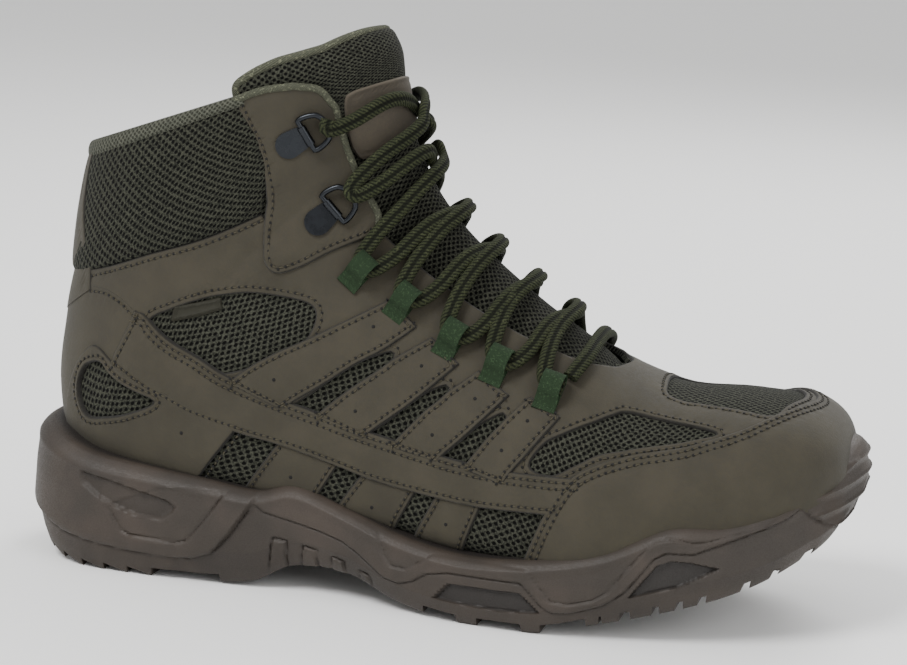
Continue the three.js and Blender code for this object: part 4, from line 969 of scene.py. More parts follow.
FINGERS = [[[(11.72, 0.43), (11.62, 0.478), (11.42, 0.53), (11.14, 0.584), (10.88, 0.64), (10.42, 0.737)],
            [(9.69, 0.716)], [(9.93, 0.638), (10.18, 0.58), (10.39, 0.515), (10.6, 0.454), (10.66, 0.425)]],
           [[(10.22, 0.44), (10.08, 0.505), (9.95, 0.552), (9.8, 0.6), (9.7, 0.635), (9.39, 0.712)],
            [(8.73, 0.69)], [(9.05, 0.571), (9.22, 0.515), (9.37, 0.465), (9.42, 0.44)]],
           [[(9.05, 0.45), (8.93, 0.516), (8.84, 0.562), (8.73, 0.6), (8.66, 0.628), (8.4, 0.7)],
            [(7.74, 0.682)], [(8.0, 0.59), (8.14, 0.54), (8.27, 0.495), (8.32, 0.47)]],
           [[(7.95, 0.485), (7.8, 0.566), (7.69, 0.61), (7.63, 0.634), (7.43, 0.7)], [(6.79, 0.688)],
            [(7.0, 0.609), (7.1, 0.57), (7.22, 0.525), (7.28, 0.49)]]]
PERFORATIONS = [(11.1, 0.478), (10.33, 0.669), (9.73, 0.491), (9.25, 0.645), (8.55, 0.522), (8.22, 0.639),
                (7.48, 0.562), (7.28, 0.646)]
LOW_PERFORATIONS = [(11.7, 0.295), (9.98, 0.291), (8.85, 0.304), (7.85, 0.35)]
VAMP_WINDOW = [(7.0, 0.555), (6.9, 0.615), (6.66, 0.655), (6.35, 0.7), (5.98, 0.75), (5.7, 0.775),
               (4.85, 0.76), (4.25, 0.715), (4.6, 0.7), (5.3, 0.68), (5.95, 0.645), (6.3, 0.602),
               (6.62, 0.558)]
TOE_WINDOW = [(5.33, 1), (5.3, 0.94), (5.22, 0.885), (4.95, 0.862), (4.6, 0.85), (3.95, 0.815), (3.42, 0.79),
              (3.22, 0.86), (3.0, 0.95), (2.97, 1)]
HEEL_WINDOW = [(13.74, 0.235), (13.87, 0.19), (13.7, 0.165), (13.42, 0.165), (13.12, 0.18), (12.87, 0.22),
               (12.62, 0.265), (12.45, 0.315), (12.93, 0.295), (13.45, 0.258)]
TABS = {"back": [(10.42, 0.38), (10.43, 0.23), (10.44, 0.06), (9.56, 0.06), (9.55, 0.25), (9.53, 0.39)],
        "middle": [(9.17, 0.4), (9.3, 0.22), (9.32, 0.08), (8.5, 0.08), (8.48, 0.25), (8.4, 0.42)],
        "front": [(8.13, 0.43), (8.22, 0.25), (8.24, 0.1), (7.54, 0.1), (7.53, 0.28), (7.48, 0.45)]}


def joined(*segments):
    """One closed outline from smooth stretches that meet in corners."""
    return np.vstack([smooth_line(segment)[:-1] for segment in segments])


def over_ridge(line):
    return smooth_line([*line, *inner_side(line)[::-1][1:]])


def round_heel(line):
    return smooth_line([*round_back(line)[::-1][:-1], *line])


def to_3d(line, lift=0.0):
    line = np.asarray(line, float)
    return on_last(line[:, 0], line[:, 1], lift)


PROBE = 0.02


def offset_line(line, distance, closed=False):
    """A seam line moved sideways over the last by a real distance. On the outer side of the boot a line
    drawn from heel to toe moves upwards."""
    line = np.asarray(line, float)
    section, girth = line.T
    per_section = (on_last(section + PROBE, girth) - on_last(section - PROBE, girth)) / (2 * PROBE)
    per_girth = (on_last(section, girth + PROBE) - on_last(section, girth - PROBE)) / (2 * PROBE)
    step = np.roll(line, -1, 0) - np.roll(line, 1, 0) if closed else np.gradient(line, axis=0)
    along = per_section * step[:, :1] + per_girth * step[:, 1:]
    across = unit(np.cross(normals_at(section, girth), along))
    a, b, c = (per_section ** 2).sum(1), (per_section * per_girth).sum(1), (per_girth ** 2).sum(1)
    p, q = (per_section * across).sum(1), (per_girth * across).sum(1)
    bottom = np.maximum(a * c - b * b, 1e-6)
    moved = np.stack([(c * p - b * q) / bottom, (a * q - b * p) / bottom], 1)
    return line + distance * moved


def grown(ring, distance):
    """A closed outline grown by a real distance, or shrunk by a negative one."""
    x, y = np.asarray(ring, float).T
    area = 0.5 * (x * np.roll(y, -1) - np.roll(x, -1) * y).sum()
    return offset_line(ring, distance * (1 if area > 0 else -1), closed=True)


print("slots, fingers and tabs:", len(SLOTS), len(FINGERS), len(TABS))

# %% [markdown]
# ## Leather pieces
# Leather is cut flat and sewn over the last. Each outline is filled, inset twice for an edge that rolls
# over, crossed by many straight cuts so that it can bend, and extruded for its underside. Then every point
# is laid on the last. A piece on top overlaps the one under it by about three millimetres, as a real one.

# %% Cut a piece flat
CELL, OUTLINE_PITCH = 2.0, 1.2
EDGE_INSETS = (0.35, 0.65)


def cut_flat(outline, holes=(), cell=CELL):
    bm = bmesh.new()
    edges = []
    for ring in [outline, *holes]:
        ring = np.asarray(ring, float) * FLAT
        ring = resample(np.vstack([ring, ring[:1]]), OUTLINE_PITCH)[:-1]
        verts = [bm.verts.new((x, y, 0)) for x, y in ring]
        edges += [bm.edges.new(pair) for pair in zip(verts, verts[1:] + verts[:1])]
    bmesh.ops.triangle_fill(bm, use_beauty=True, use_dissolve=False, edges=edges)
    bmesh.ops.recalc_face_normals(bm, faces=bm.faces)
    inside = list(bm.faces)
    for width in EDGE_INSETS:
        rim = bmesh.ops.inset_region(bm, faces=inside, thickness=width, use_even_offset=True,
                                     use_boundary=True)
        rim = set(rim["faces"])
        inside = [face for face in bm.faces if face not in rim and face in set(inside)]
    places = bm_points(bm)
    low, high = places.min(0), places.max(0)
    for axis in (0, 1):
        for cut in np.arange(low[axis] + cell / 2, high[axis], cell):
            direction = (1, 0, 0) if axis == 0 else (0, 1, 0)
            geometry = bm.verts[:] + bm.edges[:] + bm.faces[:]
            bmesh.ops.bisect_plane(bm, geom=geometry, dist=1e-4, plane_co=Vector(direction) * float(cut),
                                   plane_no=direction)
    under = bmesh.ops.extrude_face_region(bm, geom=bm.faces[:], use_keep_orig=True)["geom"]
    bmesh.ops.translate(bm, vec=(0, 0, 1), verts=[g for g in under if isinstance(g, bmesh.types.BMVert)])
    return bm


def rounded(distance, radius):
    share = np.clip(distance / radius, 0, 1)
    return np.sqrt(np.maximum(1 - (1 - share) ** 2, 0))


def lay(bm, name, outline, holes=(), low=0.0, high=1.2, troughs=(), puff=None, material=None,
        nodes=(), roll=0.9):
    """Lays a flat piece on the last. Troughs are (3-D line, depth, width) where stitches pull it down."""
    flat_points = bm_points(bm)
    section, girth = flat_points[:, 0] / FLAT[0], flat_points[:, 1] / FLAT[1]
    upper_side = flat_points[:, 2] > 0.5
    ground = on_last(section, girth)
    rings = [to_3d(np.vstack([ring, ring[:1]])) for ring in [outline, *holes]]
    edge = distance_to(ground, rings)
    lift = low + (high - low) * (0.35 + 0.65 * rounded(edge, roll))
    if puff is not None:
        lift += puff(section, edge)
    for line, depth, width in troughs:
        lift -= depth * np.exp(-(distance_to(ground, [line]) / width) ** 2)
    lift = np.where(upper_side, lift, low)
    set_uv(bm, flat_points[:, :2] / 10)
    set_values(bm, "edge", edge)
    move_points(bm, on_last(section, girth, lift))
    return finish_piece(bm, name, material or leather, nodes, sharp=50)


def both_sides(flat_piece, middle=FLAT[1], turn_inner=inner_side):
    """For each side its name, the way to turn a line over to it, its sign and its flat piece."""
    inner_piece = flat_piece.copy()
    for vert in inner_piece.verts:
        vert.co.y = 2 * middle - vert.co.y
    return ("outer", np.asarray, 1, flat_piece), ("inner", turn_inner, -1, inner_piece)


print("cell of a leather piece", CELL, "mm")

# %% [markdown]
# Rows of thread hold the leather, one near the edge and at some seams a second further in. Each row pulls a
# shallow trough. The rows are noted here for each side, and the stitches themselves are set at the end.

# %% Stitch rows
STITCH_ROWS = {"outer": [], "inner": []}
TROUGH_DEPTH, TROUGH_WIDTH = 0.35, 0.7
NARROW_SEAM, SEAM, WIDE_SEAM, SECOND_SEAM = 1.9, 2.0, 2.2, 4.2


def sew(line, distance, lift, side, closed=False):
    """A row of stitches beside a seam. Returns the trough that it pulls in the leather."""
    row = grown(line, distance) if closed else offset_line(line, distance)
    if closed:
        row = np.vstack([row, row[:1]])
    STITCH_ROWS[side].append((row, lift - TROUGH_DEPTH))
    return to_3d(row), TROUGH_DEPTH, TROUGH_WIDTH


print("rows of stitches lie", SEAM, "and", SECOND_SEAM, "mm from an edge")

# %% [markdown]
# The quarters are the leather sides. Each has one window, where the mesh shows, and three slots between the
# raised straps. Its low edge ends under the band, as a real one does, and a seam runs below the collar.

# %% Quarters, between the collar and the band
QUARTER_HIGH, VAMP_HIGH, COUNTER_HIGH, TAB_HIGH = 1.2, 1.2, 1.35, 1.1
SLOT_END = 0.41
BAND_HIGH, FLAP_HIGH, CAP_HIGH = 2.2, 2.3, 2.25
window = smooth_line(UPPER_WINDOW, closed=True)
slots = [smooth_line(slot, closed=True) for slot in SLOTS]
quarter_top = [(14.1, 0.64), (13.6, 0.66), (12.6, 0.68), (11.9, 0.83)]
quarter_low = [(7.22, 0.47), (8.33, 0.435), (9.43, 0.405), (10.53, 0.39), (11.92, 0.38), (12.73, 0.365),
               (13.78, 0.325), (14.2, 0.28), (14.9, 0.19), (15.3, 0.09)]
quarter_outline = joined([(15.5, 0.09), *CUFF_LOW[2:]], quarter_top, [(11.9, 0.83), *QUARTER_FRONT[1:]],
                         VAMP_BACK[::-1], quarter_low)
quarter_flat = cut_flat(quarter_outline, [window, *slots])
for side, turn_over, sign, flat_piece in both_sides(quarter_flat):
    rings = [turn_over(ring) for ring in (window, *slots)]
    troughs = [sew(rings[0], WIDE_SEAM, QUARTER_HIGH, side, closed=True)]
    for ring in rings[1:]:
        end = grown(ring, NARROW_SEAM)
        end = np.roll(end, -int(np.argmin(np.abs(end[:, 1] - 1))) - len(end) // 2, axis=0)
        end = end[np.abs(end[:, 1] - 1) < SLOT_END]
        STITCH_ROWS[side].append((end, QUARTER_HIGH - TROUGH_DEPTH))
        troughs.append((to_3d(end), TROUGH_DEPTH, TROUGH_WIDTH))
    troughs.append(sew(turn_over(smooth_line(CUFF_LOW[1:])), -WIDE_SEAM * sign, QUARTER_HIGH, side))
    lay(flat_piece, "quarter_piece_" + side, turn_over(quarter_outline), rings, 0.0, QUARTER_HIGH, troughs,
        nodes=["quarter_" + side])

# %% [markdown]
# Four raised straps on each side take the pull of the lace down to the band. They are a second layer of
# leather on the quarter, stitched all round.

# %% Fingers, from the band up to the loops
FINGER_HIGH = 2.4
for n, (top, end, low) in enumerate(FINGERS):
    finger_outline = joined(top, [top[-1], end[0]], [end[0], *low], [low[-1], top[0]])
    finger_flat = cut_flat(finger_outline)
    for side, turn_over, sign, flat_piece in both_sides(finger_flat):
        ring = turn_over(finger_outline)
        troughs = [sew(ring, -NARROW_SEAM, FINGER_HIGH, side, closed=True)]
        lay(flat_piece, f"finger_{n + 1}_{side}", ring, (), 0.6, FINGER_HIGH, troughs)

# %% [markdown]
# The vamp covers the forefoot. It is one piece across the ridge, with a window on each side and one over the
# toes, where the mesh shows.

# %% Vamp, in front of the throat
vamp_window = smooth_line(VAMP_WINDOW, closed=True)
toe_window = smooth_line([*TOE_WINDOW, *inner_side(TOE_WINDOW)[::-1][1:-1]], closed=True)
vamp_front = [(6.9, 0.5), (6.6, 0.53), (6.0, 0.6), (5.6, 0.63), (4.57, 0.665), (3.7, 0.71), (3.1, 0.8),
              (2.7, 0.9), (2.58, 1)]
vamp_edge = smooth_line([(7.5, 0.505), *vamp_front])[:-1]
vamp_other_edge = smooth_line(inner_side([(7.5, 0.505), *vamp_front]))[::-1][:-1]
vamp_under = [(7.08, 0.845), (7.1, 0.72), (7.25, 0.62), (7.5, 0.505)]
vamp_line = [vamp_edge, vamp_other_edge, smooth_line(inner_side(vamp_under[::-1]))[:-1],
             smooth_line([*inner_side(VAMP_THROAT), *VAMP_THROAT[::-1][1:]])[:-1],
             smooth_line(vamp_under)[:-1]]
vamp_outline = np.vstack(vamp_line)
vamp_holes = [vamp_window, inner_side(vamp_window), toe_window]
vamp_troughs = [sew(hole, SEAM, VAMP_HIGH, side, closed=True)
                for hole, side in zip(vamp_holes, ("outer", "inner", "outer"))]
lay(cut_flat(vamp_outline, vamp_holes), "vamp_piece", vamp_outline, vamp_holes, 0.0, VAMP_HIGH, vamp_troughs,
    nodes=["vamp"])

# %% [markdown]
# The counter wraps the heel in one piece and is the stiffest part of a real upper. A window on each side
# shows the mesh.

# %% Heel counter
heel_window = smooth_line(HEEL_WINDOW, closed=True)
counter_low = [(11.04, 0.36), (11.03, 0.2), (11.0, 0.08), (12.2, 0.05), (12.9, 0.0)]
counter_side = [(14.12, 0.335), (13.6, 0.34), (12.4, 0.37), (11.04, 0.36)]
counter_half = np.vstack([smooth_line(COUNTER_TOP)[:-1], smooth_line(counter_side)[:-1],
                          smooth_line(counter_low)])
counter_outline = np.vstack([counter_half, round_back(counter_half)[::-1][1:-1]])
counter_holes = [heel_window, round_back(heel_window)]
counter_troughs = [sew(round_heel(COUNTER_TOP), -2.3, COUNTER_HIGH, "outer")]
lay(cut_flat(counter_outline, counter_holes), "counter_piece", counter_outline, counter_holes, 0.1,
    COUNTER_HIGH, counter_troughs, nodes=["heel_counter"])

# %% [markdown]
# A second layer lies on each side of the counter, round the heel's window. It is cut for the outer side and
# mirrored over the heel.

# %% Heel panels
HEEL_PANEL_HIGH = 2.15
PANEL_FRONT = [(11.05, 0.36), (11.03, 0.2), (11.0, 0.08)]
HEEL_PANEL_EDGE = [(12.75, 0.05), (13.1, 0.075), (13.55, 0.105), (13.9, 0.14), (14.08, 0.175), (14.1, 0.21),
                   (13.98, 0.235), (13.7, 0.262), (13.1, 0.31)]
panel_outline = joined(HEEL_PANEL_EDGE, [(13.1, 0.31), (12.4, 0.345), (11.05, 0.36)],
                       PANEL_FRONT, [(11.0, 0.08), (12.0, 0.055), (12.75, 0.05)])
panel_flat = cut_flat(panel_outline, [heel_window])
for side, turn_over, sign, flat_piece in both_sides(panel_flat, 0, round_back):
    rings = [turn_over(heel_window)]
    troughs = [sew(rings[0], SEAM, HEEL_PANEL_HIGH, side, closed=True),
               sew(turn_over(smooth_line(PANEL_FRONT)), sign * SEAM, HEEL_PANEL_HIGH, side)]
    lay(flat_piece, "heel_panel_" + side, turn_over(panel_outline), rings, 0.5, HEEL_PANEL_HIGH, troughs)

# %% [markdown]
# Three short tabs on each side run from the band down into the sole and tie the two together.

# %% Side tabs
for word, corners in TABS.items():
    tab_outline = joined(corners[:3], corners[2:4], corners[3:], [corners[-1], corners[0]])
    tab_flat = cut_flat(tab_outline)
    for side, turn_over, sign, flat_piece in both_sides(tab_flat):
        troughs = [sew(turn_over(smooth_line(edge_line)), NARROW_SEAM * sign, TAB_HIGH, side)
                   for edge_line in (corners[:3], corners[3:])]
        lay(flat_piece, "tab_" + word + "_" + side, turn_over(tab_outline), (), 0.0, TAB_HIGH, troughs,
            nodes=["side_tab_" + word + "_" + side])

# %% [markdown]
# The band ties the counter to the toe cap along the side and covers the low edges of the quarter. Two rows of
# stitches run along its top.

# %% Side band, from the counter to the toe cap
band_outline = joined(BAND_TOP, [BAND_TOP[-1], BAND_LOW[-1]], BAND_LOW[::-1], COUNTER_FRONT[::-1])
band_flat = cut_flat(band_outline)
for side, turn_over, sign, flat_piece in both_sides(band_flat):
    rows_of_band = ((BAND_TOP, -SEAM), (BAND_TOP, -SECOND_SEAM), (BAND_LOW, SEAM), (COUNTER_FRONT, SEAM))
    troughs = [sew(turn_over(smooth_line(line)), distance * sign, BAND_HIGH, side)
               for line, distance in rows_of_band]
    lay(flat_piece, "band_" + side, turn_over(band_outline), (), 0.1, BAND_HIGH, troughs,
        nodes=["side_band_" + side])

# %% [markdown]
# The toe cap goes round the toes and down into the sole. Its back edge overlaps the vamp and carries two rows
# of stitches. It bends in two directions, and wider cells are fine enough for its even curve.

# %% Toe cap
CAP_CELL = 2.8
cap_edge = over_ridge(TOE_CAP_EDGE)
cap_outline = np.vstack([cap_edge[:-1], smooth_line([(6.84, 1.95), (3, 1.97), (0.35, 1.9)])[:-1],
                         smooth_line([(0.35, 1.9), (0.3, 1), (0.35, 0.1)])[:-1],
                         smooth_line([(0.35, 0.1), (3, 0.03), (6.84, 0.05)])[:-1]])
cap_troughs = [sew(cap_edge, -distance, CAP_HIGH, "outer") for distance in (SEAM, SECOND_SEAM)]
lay(cut_flat(cap_outline, cell=CAP_CELL), "toe_cap_piece", cap_outline, (), 0.1, CAP_HIGH, cap_troughs,
    nodes=["toe_cap"])

# %% [markdown]
# A flap of leather on each side of the ankle carries the metal rings. It is the topmost layer there.

# %% Eyestay flaps, under the rings
flap_outline = joined(FLAP_BACK, FLAP_LOW, FLAP_FRONT, FLAP_TOP)
flap_flat = cut_flat(flap_outline)
for side, turn_over, sign, flat_piece in both_sides(flap_flat):
    troughs = [sew(turn_over(smooth_line([*FLAP_BACK[:-1], *FLAP_LOW])), WIDE_SEAM * sign, FLAP_HIGH, side)]
    lay(flat_piece, "eyestay_piece_" + side, turn_over(flap_outline), (), 0.1, FLAP_HIGH, troughs,
        nodes=["eyestay_" + side])

# %% [markdown]
# ## Padded collar
# The collar is a foam cushion under knitted mesh. It swells between its edges and tucks in under the
# leather. A lining of finer knit rolls over the top and runs down inside.

# %% Collar cushion
CUFF_SWELL, CUFF_REACH = 2.9, 11
cuff_front = [(14.1, 0.64), (15, 0.655), (15.72, 0.63), (16.48, 0.59), (17.0, 0.56)]
cuff_half = np.vstack([smooth_line(CUFF_LOW)[:-1], smooth_line(cuff_front)[:-1],
                       smooth_line([(17.0, 0.56), (17.0, 0.3), (17.0, 0.0)])])
cuff_outline = np.vstack([cuff_half, round_back(cuff_half)[::-1][1:-1]])


def cuff_swell(section, edge):
    """A swelling cushion with one slight roll below its top."""
    return CUFF_SWELL * rounded(edge, CUFF_REACH) + 0.35 * np.exp(-((section - 16.2) / 0.35) ** 2)


cuff = lay(cut_flat(cuff_outline), "cuff_cushion", cuff_outline, (), 0.0, 0.7, (), cuff_swell, cuff_cloth,
           ["collar_cuff"], roll=1.5)

# %% [markdown]
# The back stay is a strip up the heel, wider at its foot, that takes the wear of pulling the boot on. It
# lies over the cushion and follows its swelling.

# %% Back stay, over the cushion at the heel
CUFF_BOTTOM, CUFF_TOP, SECTION_HIGH = 15.5, 17.0, 14
backstay_half = smooth_line([(15.0, 0.19), (15.45, 0.17), (16.2, 0.125), (16.97, 0.115)])
backstay_outline = np.vstack([backstay_half, round_back(backstay_half)[::-1]])
backstay_rows = smooth_line([(15.05, 0.165), (16.2, 0.1), (16.9, 0.09)])


def backstay_swell(section, edge):
    """Follows the cushion under it, from the cushion's low edge to its top."""
    inside = np.clip(np.minimum(section - CUFF_BOTTOM, CUFF_TOP - section) * SECTION_HIGH, 0, None)
    return CUFF_SWELL * rounded(inside, CUFF_REACH)


lay(cut_flat(backstay_outline), "backstay", backstay_outline, (), 0.2, 1.7,
    [(to_3d(row), 0.4, 0.6) for row in (backstay_rows, round_back(backstay_rows))], backstay_swell)

# %% [markdown]
# The lining is soft knit, rolled over the top of the collar and sewn down inside. It is a profile swept round
# the heel from one side of the throat to the other, thinner at both ends.

# %% Rolled lining of the collar
LINING_STEPS = [(16.86, 2.2), (16.9, 3.0), (16.96, 3.4), (17.03, 3.2), (17.08, 2.4), (17.1, 1.0),
                (17.1, -0.8), (17.04, -2.6), (16.86, -4.2), (16.4, -5.0), (15.6, -5.2), (14.6, -5.0),
                (13.6, -4.4), (12.6, -3.4), (12.5, -2.6), (13.6, -2.4), (14.6, -2.4), (15.6, -2.4),
                (16.4, -2.3), (16.8, -1.5), (16.88, 0.5), (16.84, 1.6)]
lining_profile = smooth_line(LINING_STEPS, closed=True, steps=5)
LINING_ROUND = 150
bm = grid_mesh(len(lining_profile) + 1, LINING_ROUND + 1)
i, j = grid_index(bm)
profile = lining_profile[i % len(lining_profile)]
side_share = j / LINING_ROUND * 2 - 1
reach = np.interp(profile[:, 0], [12.5, 15, 16.6, 17.2], [0.72, 0.7, 0.6, 0.565])
girth = side_share * reach
thin = rounded((1 - np.abs(side_share)) * 60, 3)
lift = -1.0 + (profile[:, 1] + 1.0) * (0.25 + 0.75 * thin)
set_uv(bm, pattern_uv(profile[:, 0], girth))
move_points(bm, on_last(profile[:, 0], girth, lift))
weld(bm, fill=True)
lining = finish_piece(bm, "collar_lining", lining_cloth, sharp=60)

# %% [markdown]
# The insole is a foam sheet under the foot. It can hardly be seen, so it is cut in coarse cells.

# %% Insole
insole_edge = smooth_line([(2, 0.18), (2.6, 0.26), (4, 0.3), (6, 0.3), (8, 0.25), (10, 0.19), (12, 0.15),
                           (12.8, 0.08)])
insole_outline = np.vstack([insole_edge, round_back(insole_edge)[::-1]])
insole_bm = cut_flat(insole_outline, cell=6)
insole_flat = bm_points(insole_bm)
insole_section, insole_girth = insole_flat[:, 0] / FLAT[0], insole_flat[:, 1] / FLAT[1]
insole_ring = to_3d(np.vstack([insole_outline, insole_outline[:1]]))
insole_edge_3d = distance_to(on_last(insole_section, insole_girth), [insole_ring])
insole_lift = np.where(insole_flat[:, 2] > 0.5, -2.3, -5.2 - 1.0 * rounded(insole_edge_3d, 2.0))
set_uv(insole_bm, insole_flat[:, :2] / 10)
move_points(insole_bm, on_last(insole_section, insole_girth, insole_lift))
finish_piece(insole_bm, "insole_pad", lining_cloth, ["insole"])

# %% [markdown]
# ## The tongue
# The tongue is a padded tongue of the same mesh, as wide as the ankle at its top, where its wings lie
# inside the collar. It is one closed cushion: a grid that goes over the front, round the edges and back
# behind.

# %% Tongue cushion
TONGUE_SIDE = [(6.0, 0.97), (6.3, 0.87), (7, 0.76), (9, 0.7), (12.5, 0.66), (15, 0.6), (17, 0.55), (18, 0.53)]
TONGUE_TOP = [(0.5, 17.15), (0.56, 17.32), (0.6, 17.42), (0.66, 17.52), (0.72, 17.55), (0.78, 17.6),
              (0.84, 17.78), (0.9, 17.95), (0.95, 18.02), (1.0, 18.03)]
tongue_side_rows, tongue_side_girths = np.array(TONGUE_SIDE).T
tongue_top_girths, tongue_top_rows = np.array(TONGUE_TOP).T
TONGUE_UP, TONGUE_ROUND = 150, 96
TONGUE_MIDDLE_LIFT = -4.4


def tongue_place(up_share, side_share):
    """A place on the tongue: up_share from the toe to the top, side_share from -1 to 1 across it."""
    top_girth = np.interp(17.3, tongue_side_rows, tongue_side_girths)
    top = np.interp(1 - np.abs(side_share) * (1 - top_girth), tongue_top_girths, tongue_top_rows)
    section = 6.0 + up_share * (top - 6.0)
    half = 1 - np.interp(section, tongue_side_rows, tongue_side_girths)
    return section, 1 - side_share * half


def tongue_lift(section):
    """The middle of the cushion, from the last's surface."""
    return TONGUE_MIDDLE_LIFT + np.interp(section, [15, 17, 18], [0, 0.4, 0.9])


def tongue_half(section, up_share, side_share):
    """Half thickness of the cushion, thin where the lace presses and round at the rim."""
    half = 1 - np.interp(section, tongue_side_rows, tongue_side_girths)
    rim = np.minimum((1 - np.abs(side_share)) * half * 120, (1 - up_share) * 200)
    body = np.interp(section, [6, 9, 12, 15, 16.6, 17.3, 18], [1.4, 2.0, 2.2, 2.5, 3.0, 3.6, 3.7])
    return body * (0.2 + 0.8 * rounded(rim, 7.0))


up_shares = np.concatenate([np.linspace(0, 0.93, TONGUE_UP),
                            1 - 0.07 * (1 - np.linspace(0, 1, 26)[1:]) ** 1.6])
front = np.linspace(-1, 1, TONGUE_ROUND + 1)
loop_sides = np.concatenate([front, front[::-1]])
loop_signs = np.concatenate([np.ones(TONGUE_ROUND + 1), -np.ones(TONGUE_ROUND + 1)])
bm = grid_mesh(len(up_shares), len(loop_sides) + 1)
i, j = grid_index(bm)
j = j % len(loop_sides)
up_share, side_share = up_shares[i], loop_sides[j]
section, girth = tongue_place(up_share, side_share)
closing = (up_share > 0.999) | (np.abs(side_share) > 0.999)
thick = np.where(closing, 0.02, tongue_half(section, up_share, side_share))
lift = tongue_lift(section) + loop_signs[j] * thick
set_uv(bm, pattern_uv(section, girth))
move_points(bm, on_last(section, girth, lift))
weld(bm, 0.06)
tongue = finish_piece(bm, "tongue_cushion", mesh_cloth, ["tongue"], sharp=60)


# %% [markdown]
# A braided tape is folded over the raw edges of the tongue and of the flaps. Both are swept tubes, pressed
# into an oval. The same tube makes the rings and the lace further on.

# %% Bound edges
def tube(name, centres, ups, radius, material, nodes=(), sides=12, squash=1.0, closed=False,
         shape=None):
    """A cord or a bound edge swept along points, from a grid that is rolled up."""
    centres, ups = np.asarray(centres, float), np.asarray(ups, float)
    if closed:
        along = np.roll(centres, -1, 0) - np.roll(centres, 1, 0)
    else:
        along = np.gradient(centres, axis=0)
    along = unit(along)
    ups = unit(ups - along * (ups * along).sum(1, keepdims=True))
    across = np.cross(along, ups)
    lengths = lengths_along(centres)
    count = len(centres)
    bm = grid_mesh(count + (1 if closed else 0), sides + 1)
    i, j = grid_index(bm)
    uv = np.stack([lengths[np.minimum(i, count - 1)] / UV_UNIT, j / sides], 1)
    i, angle = i % count, j / sides * 2 * math.pi
    outline = radius * (shape(angle) if shape else np.ones(len(angle)))
    sideways = (np.cos(angle) * outline)[:, None] * across[i]
    upwards = (np.sin(angle) * squash * outline)[:, None] * ups[i]
    set_uv(bm, uv)
    move_points(bm, centres[i] + sideways + upwards)
    weld(bm, 0.001, fill=not closed)
    return finish_piece(bm, name, material, nodes, sharp=60)


def tape_finish(name, color, fleck, dot):
    """A woven tape: fine diagonal ribs with a few paler threads."""
    finish = Finish(name, color, 0.85, Specular_IOR_Level=0.15)
    ribs = finish.node("TexWave", {"Vector": finish.uv()}, Scale=9.0, Distortion=0.6,
                       bands_direction="DIAGONAL")
    flecks = finish.curve(finish.noise(finish.place(), 1300, 2), 0.56, 0.66)
    base = finish.mix(finish.curve(ribs.outputs["Fac"], 0.1, 0.7), srgb(dot), srgb(color))
    finish.color(finish.mix(finish.math("MULTIPLY", flecks, 0.6), base, srgb(fleck)))
    finish.bump((ribs.outputs["Fac"], 0.3, 0.7))
    return finish.material


binding_tape = tape_finish("binding tape", "55574A", "7E806A", "26271D")
BINDING_PITCH, BOUND_FROM, CORNER = 0.8, 0.86, 0.28


def smoothed(points, rounds):
    """Points evened out by their neighbours, with both ends kept."""
    points = points.copy()
    for _ in range(rounds):
        points[1:-1] = (points[:-2] + 2 * points[1:-1] + points[2:]) / 4
    return points


rim_t = np.linspace(0, 1, 240)
rim_side = np.clip((rim_t - 0.5) / (0.5 - CORNER), -1, 1)
rim_up = BOUND_FROM + (1 - BOUND_FROM) * np.clip(np.minimum(rim_t, 1 - rim_t) / CORNER, 0, 1)
rim_section, rim_girth = tongue_place(rim_up, rim_side)
rim_points = on_last(rim_section, rim_girth, tongue_lift(rim_section))
rim_centres = smoothed(resample(rim_points, BINDING_PITCH), 6)
tube("tongue_binding", rim_centres, ups_at(rim_centres), 1.8, binding_tape, squash=1.6, sides=14)
for side, turn_over in (("outer", np.asarray), ("inner", inner_side)):
    bound = turn_over(np.vstack([smooth_line(FLAP_FRONT)[:-1], smooth_line(FLAP_TOP)]))
    bound_centres = resample(to_3d(bound, 1.7), BINDING_PITCH)
    tube("flap_binding_" + side, bound_centres, ups_at(bound_centres), 1.35, binding_tape,
         squash=1.1)

# %% [markdown]
# A leather patch covers the middle of the tongue. On this part it is left bare.

# %% Leather patch on the tongue, left bare
patch_material = nubuck("patch leather", "3B352B", "4A4338")
PATCH = [(15.5, 1.0), (15.6, 0.95), (15.82, 0.88), (15.92, 0.835), (15.75, 0.82), (14.8, 0.832),
         (13.75, 0.85), (13.4, 0.875), (13.15, 0.93), (13.05, 1.0)]
patch_half = smooth_line(PATCH)
patch_outline = np.vstack([patch_half, inner_side(patch_half)[::-1][1:-1]])
TONGUE_FACE = -1.4
patch_troughs = [(to_3d(grown(patch_outline, -1.8)), 0.25, 0.6)]
lay(cut_flat(patch_outline), "patch_piece", patch_outline, (), TONGUE_FACE - 0.6, TONGUE_FACE + 0.9,
    patch_troughs, lambda section, edge: 0.5 * rounded(edge, 10), material=patch_material,
    nodes=["tongue_patch"])

# %% [markdown]
# ## Webbing loops
# Five pairs of webbing loops carry the lace. Each is a short strip of ribbed green tape, folded over the
# lace and sewn down on the leather below it.

# %% Loops
webbing = tape_finish("green webbing", "2C3D29", "3C5036", "151F12")
LOOP_PLACES = [(7.13, 0.735), (8.15, 0.735), (9.07, 0.735), (10.18, 0.75), (11.3, 0.752)]
LOOP_WIDTH, LOOP_TAPE = 8.2, 0.9
TAPE_RIBS, TAPE_RIB_HIGH = 6, 0.12
NEAR = 0.03
LOOP_PROFILE = [(-8.2, 0.3), (-7.2, 0.9), (-5.8, 1.4), (-4.2, 2.6), (-2.9, 4.8), (-0.9, 6.6), (1.6, 7.3),
                (4.0, 6.6), (5.4, 4.8), (5.3, 2.4), (3.6, 1.0), (0.0, 0.6), (-4.0, 0.4), (-8.0, 0.15)]


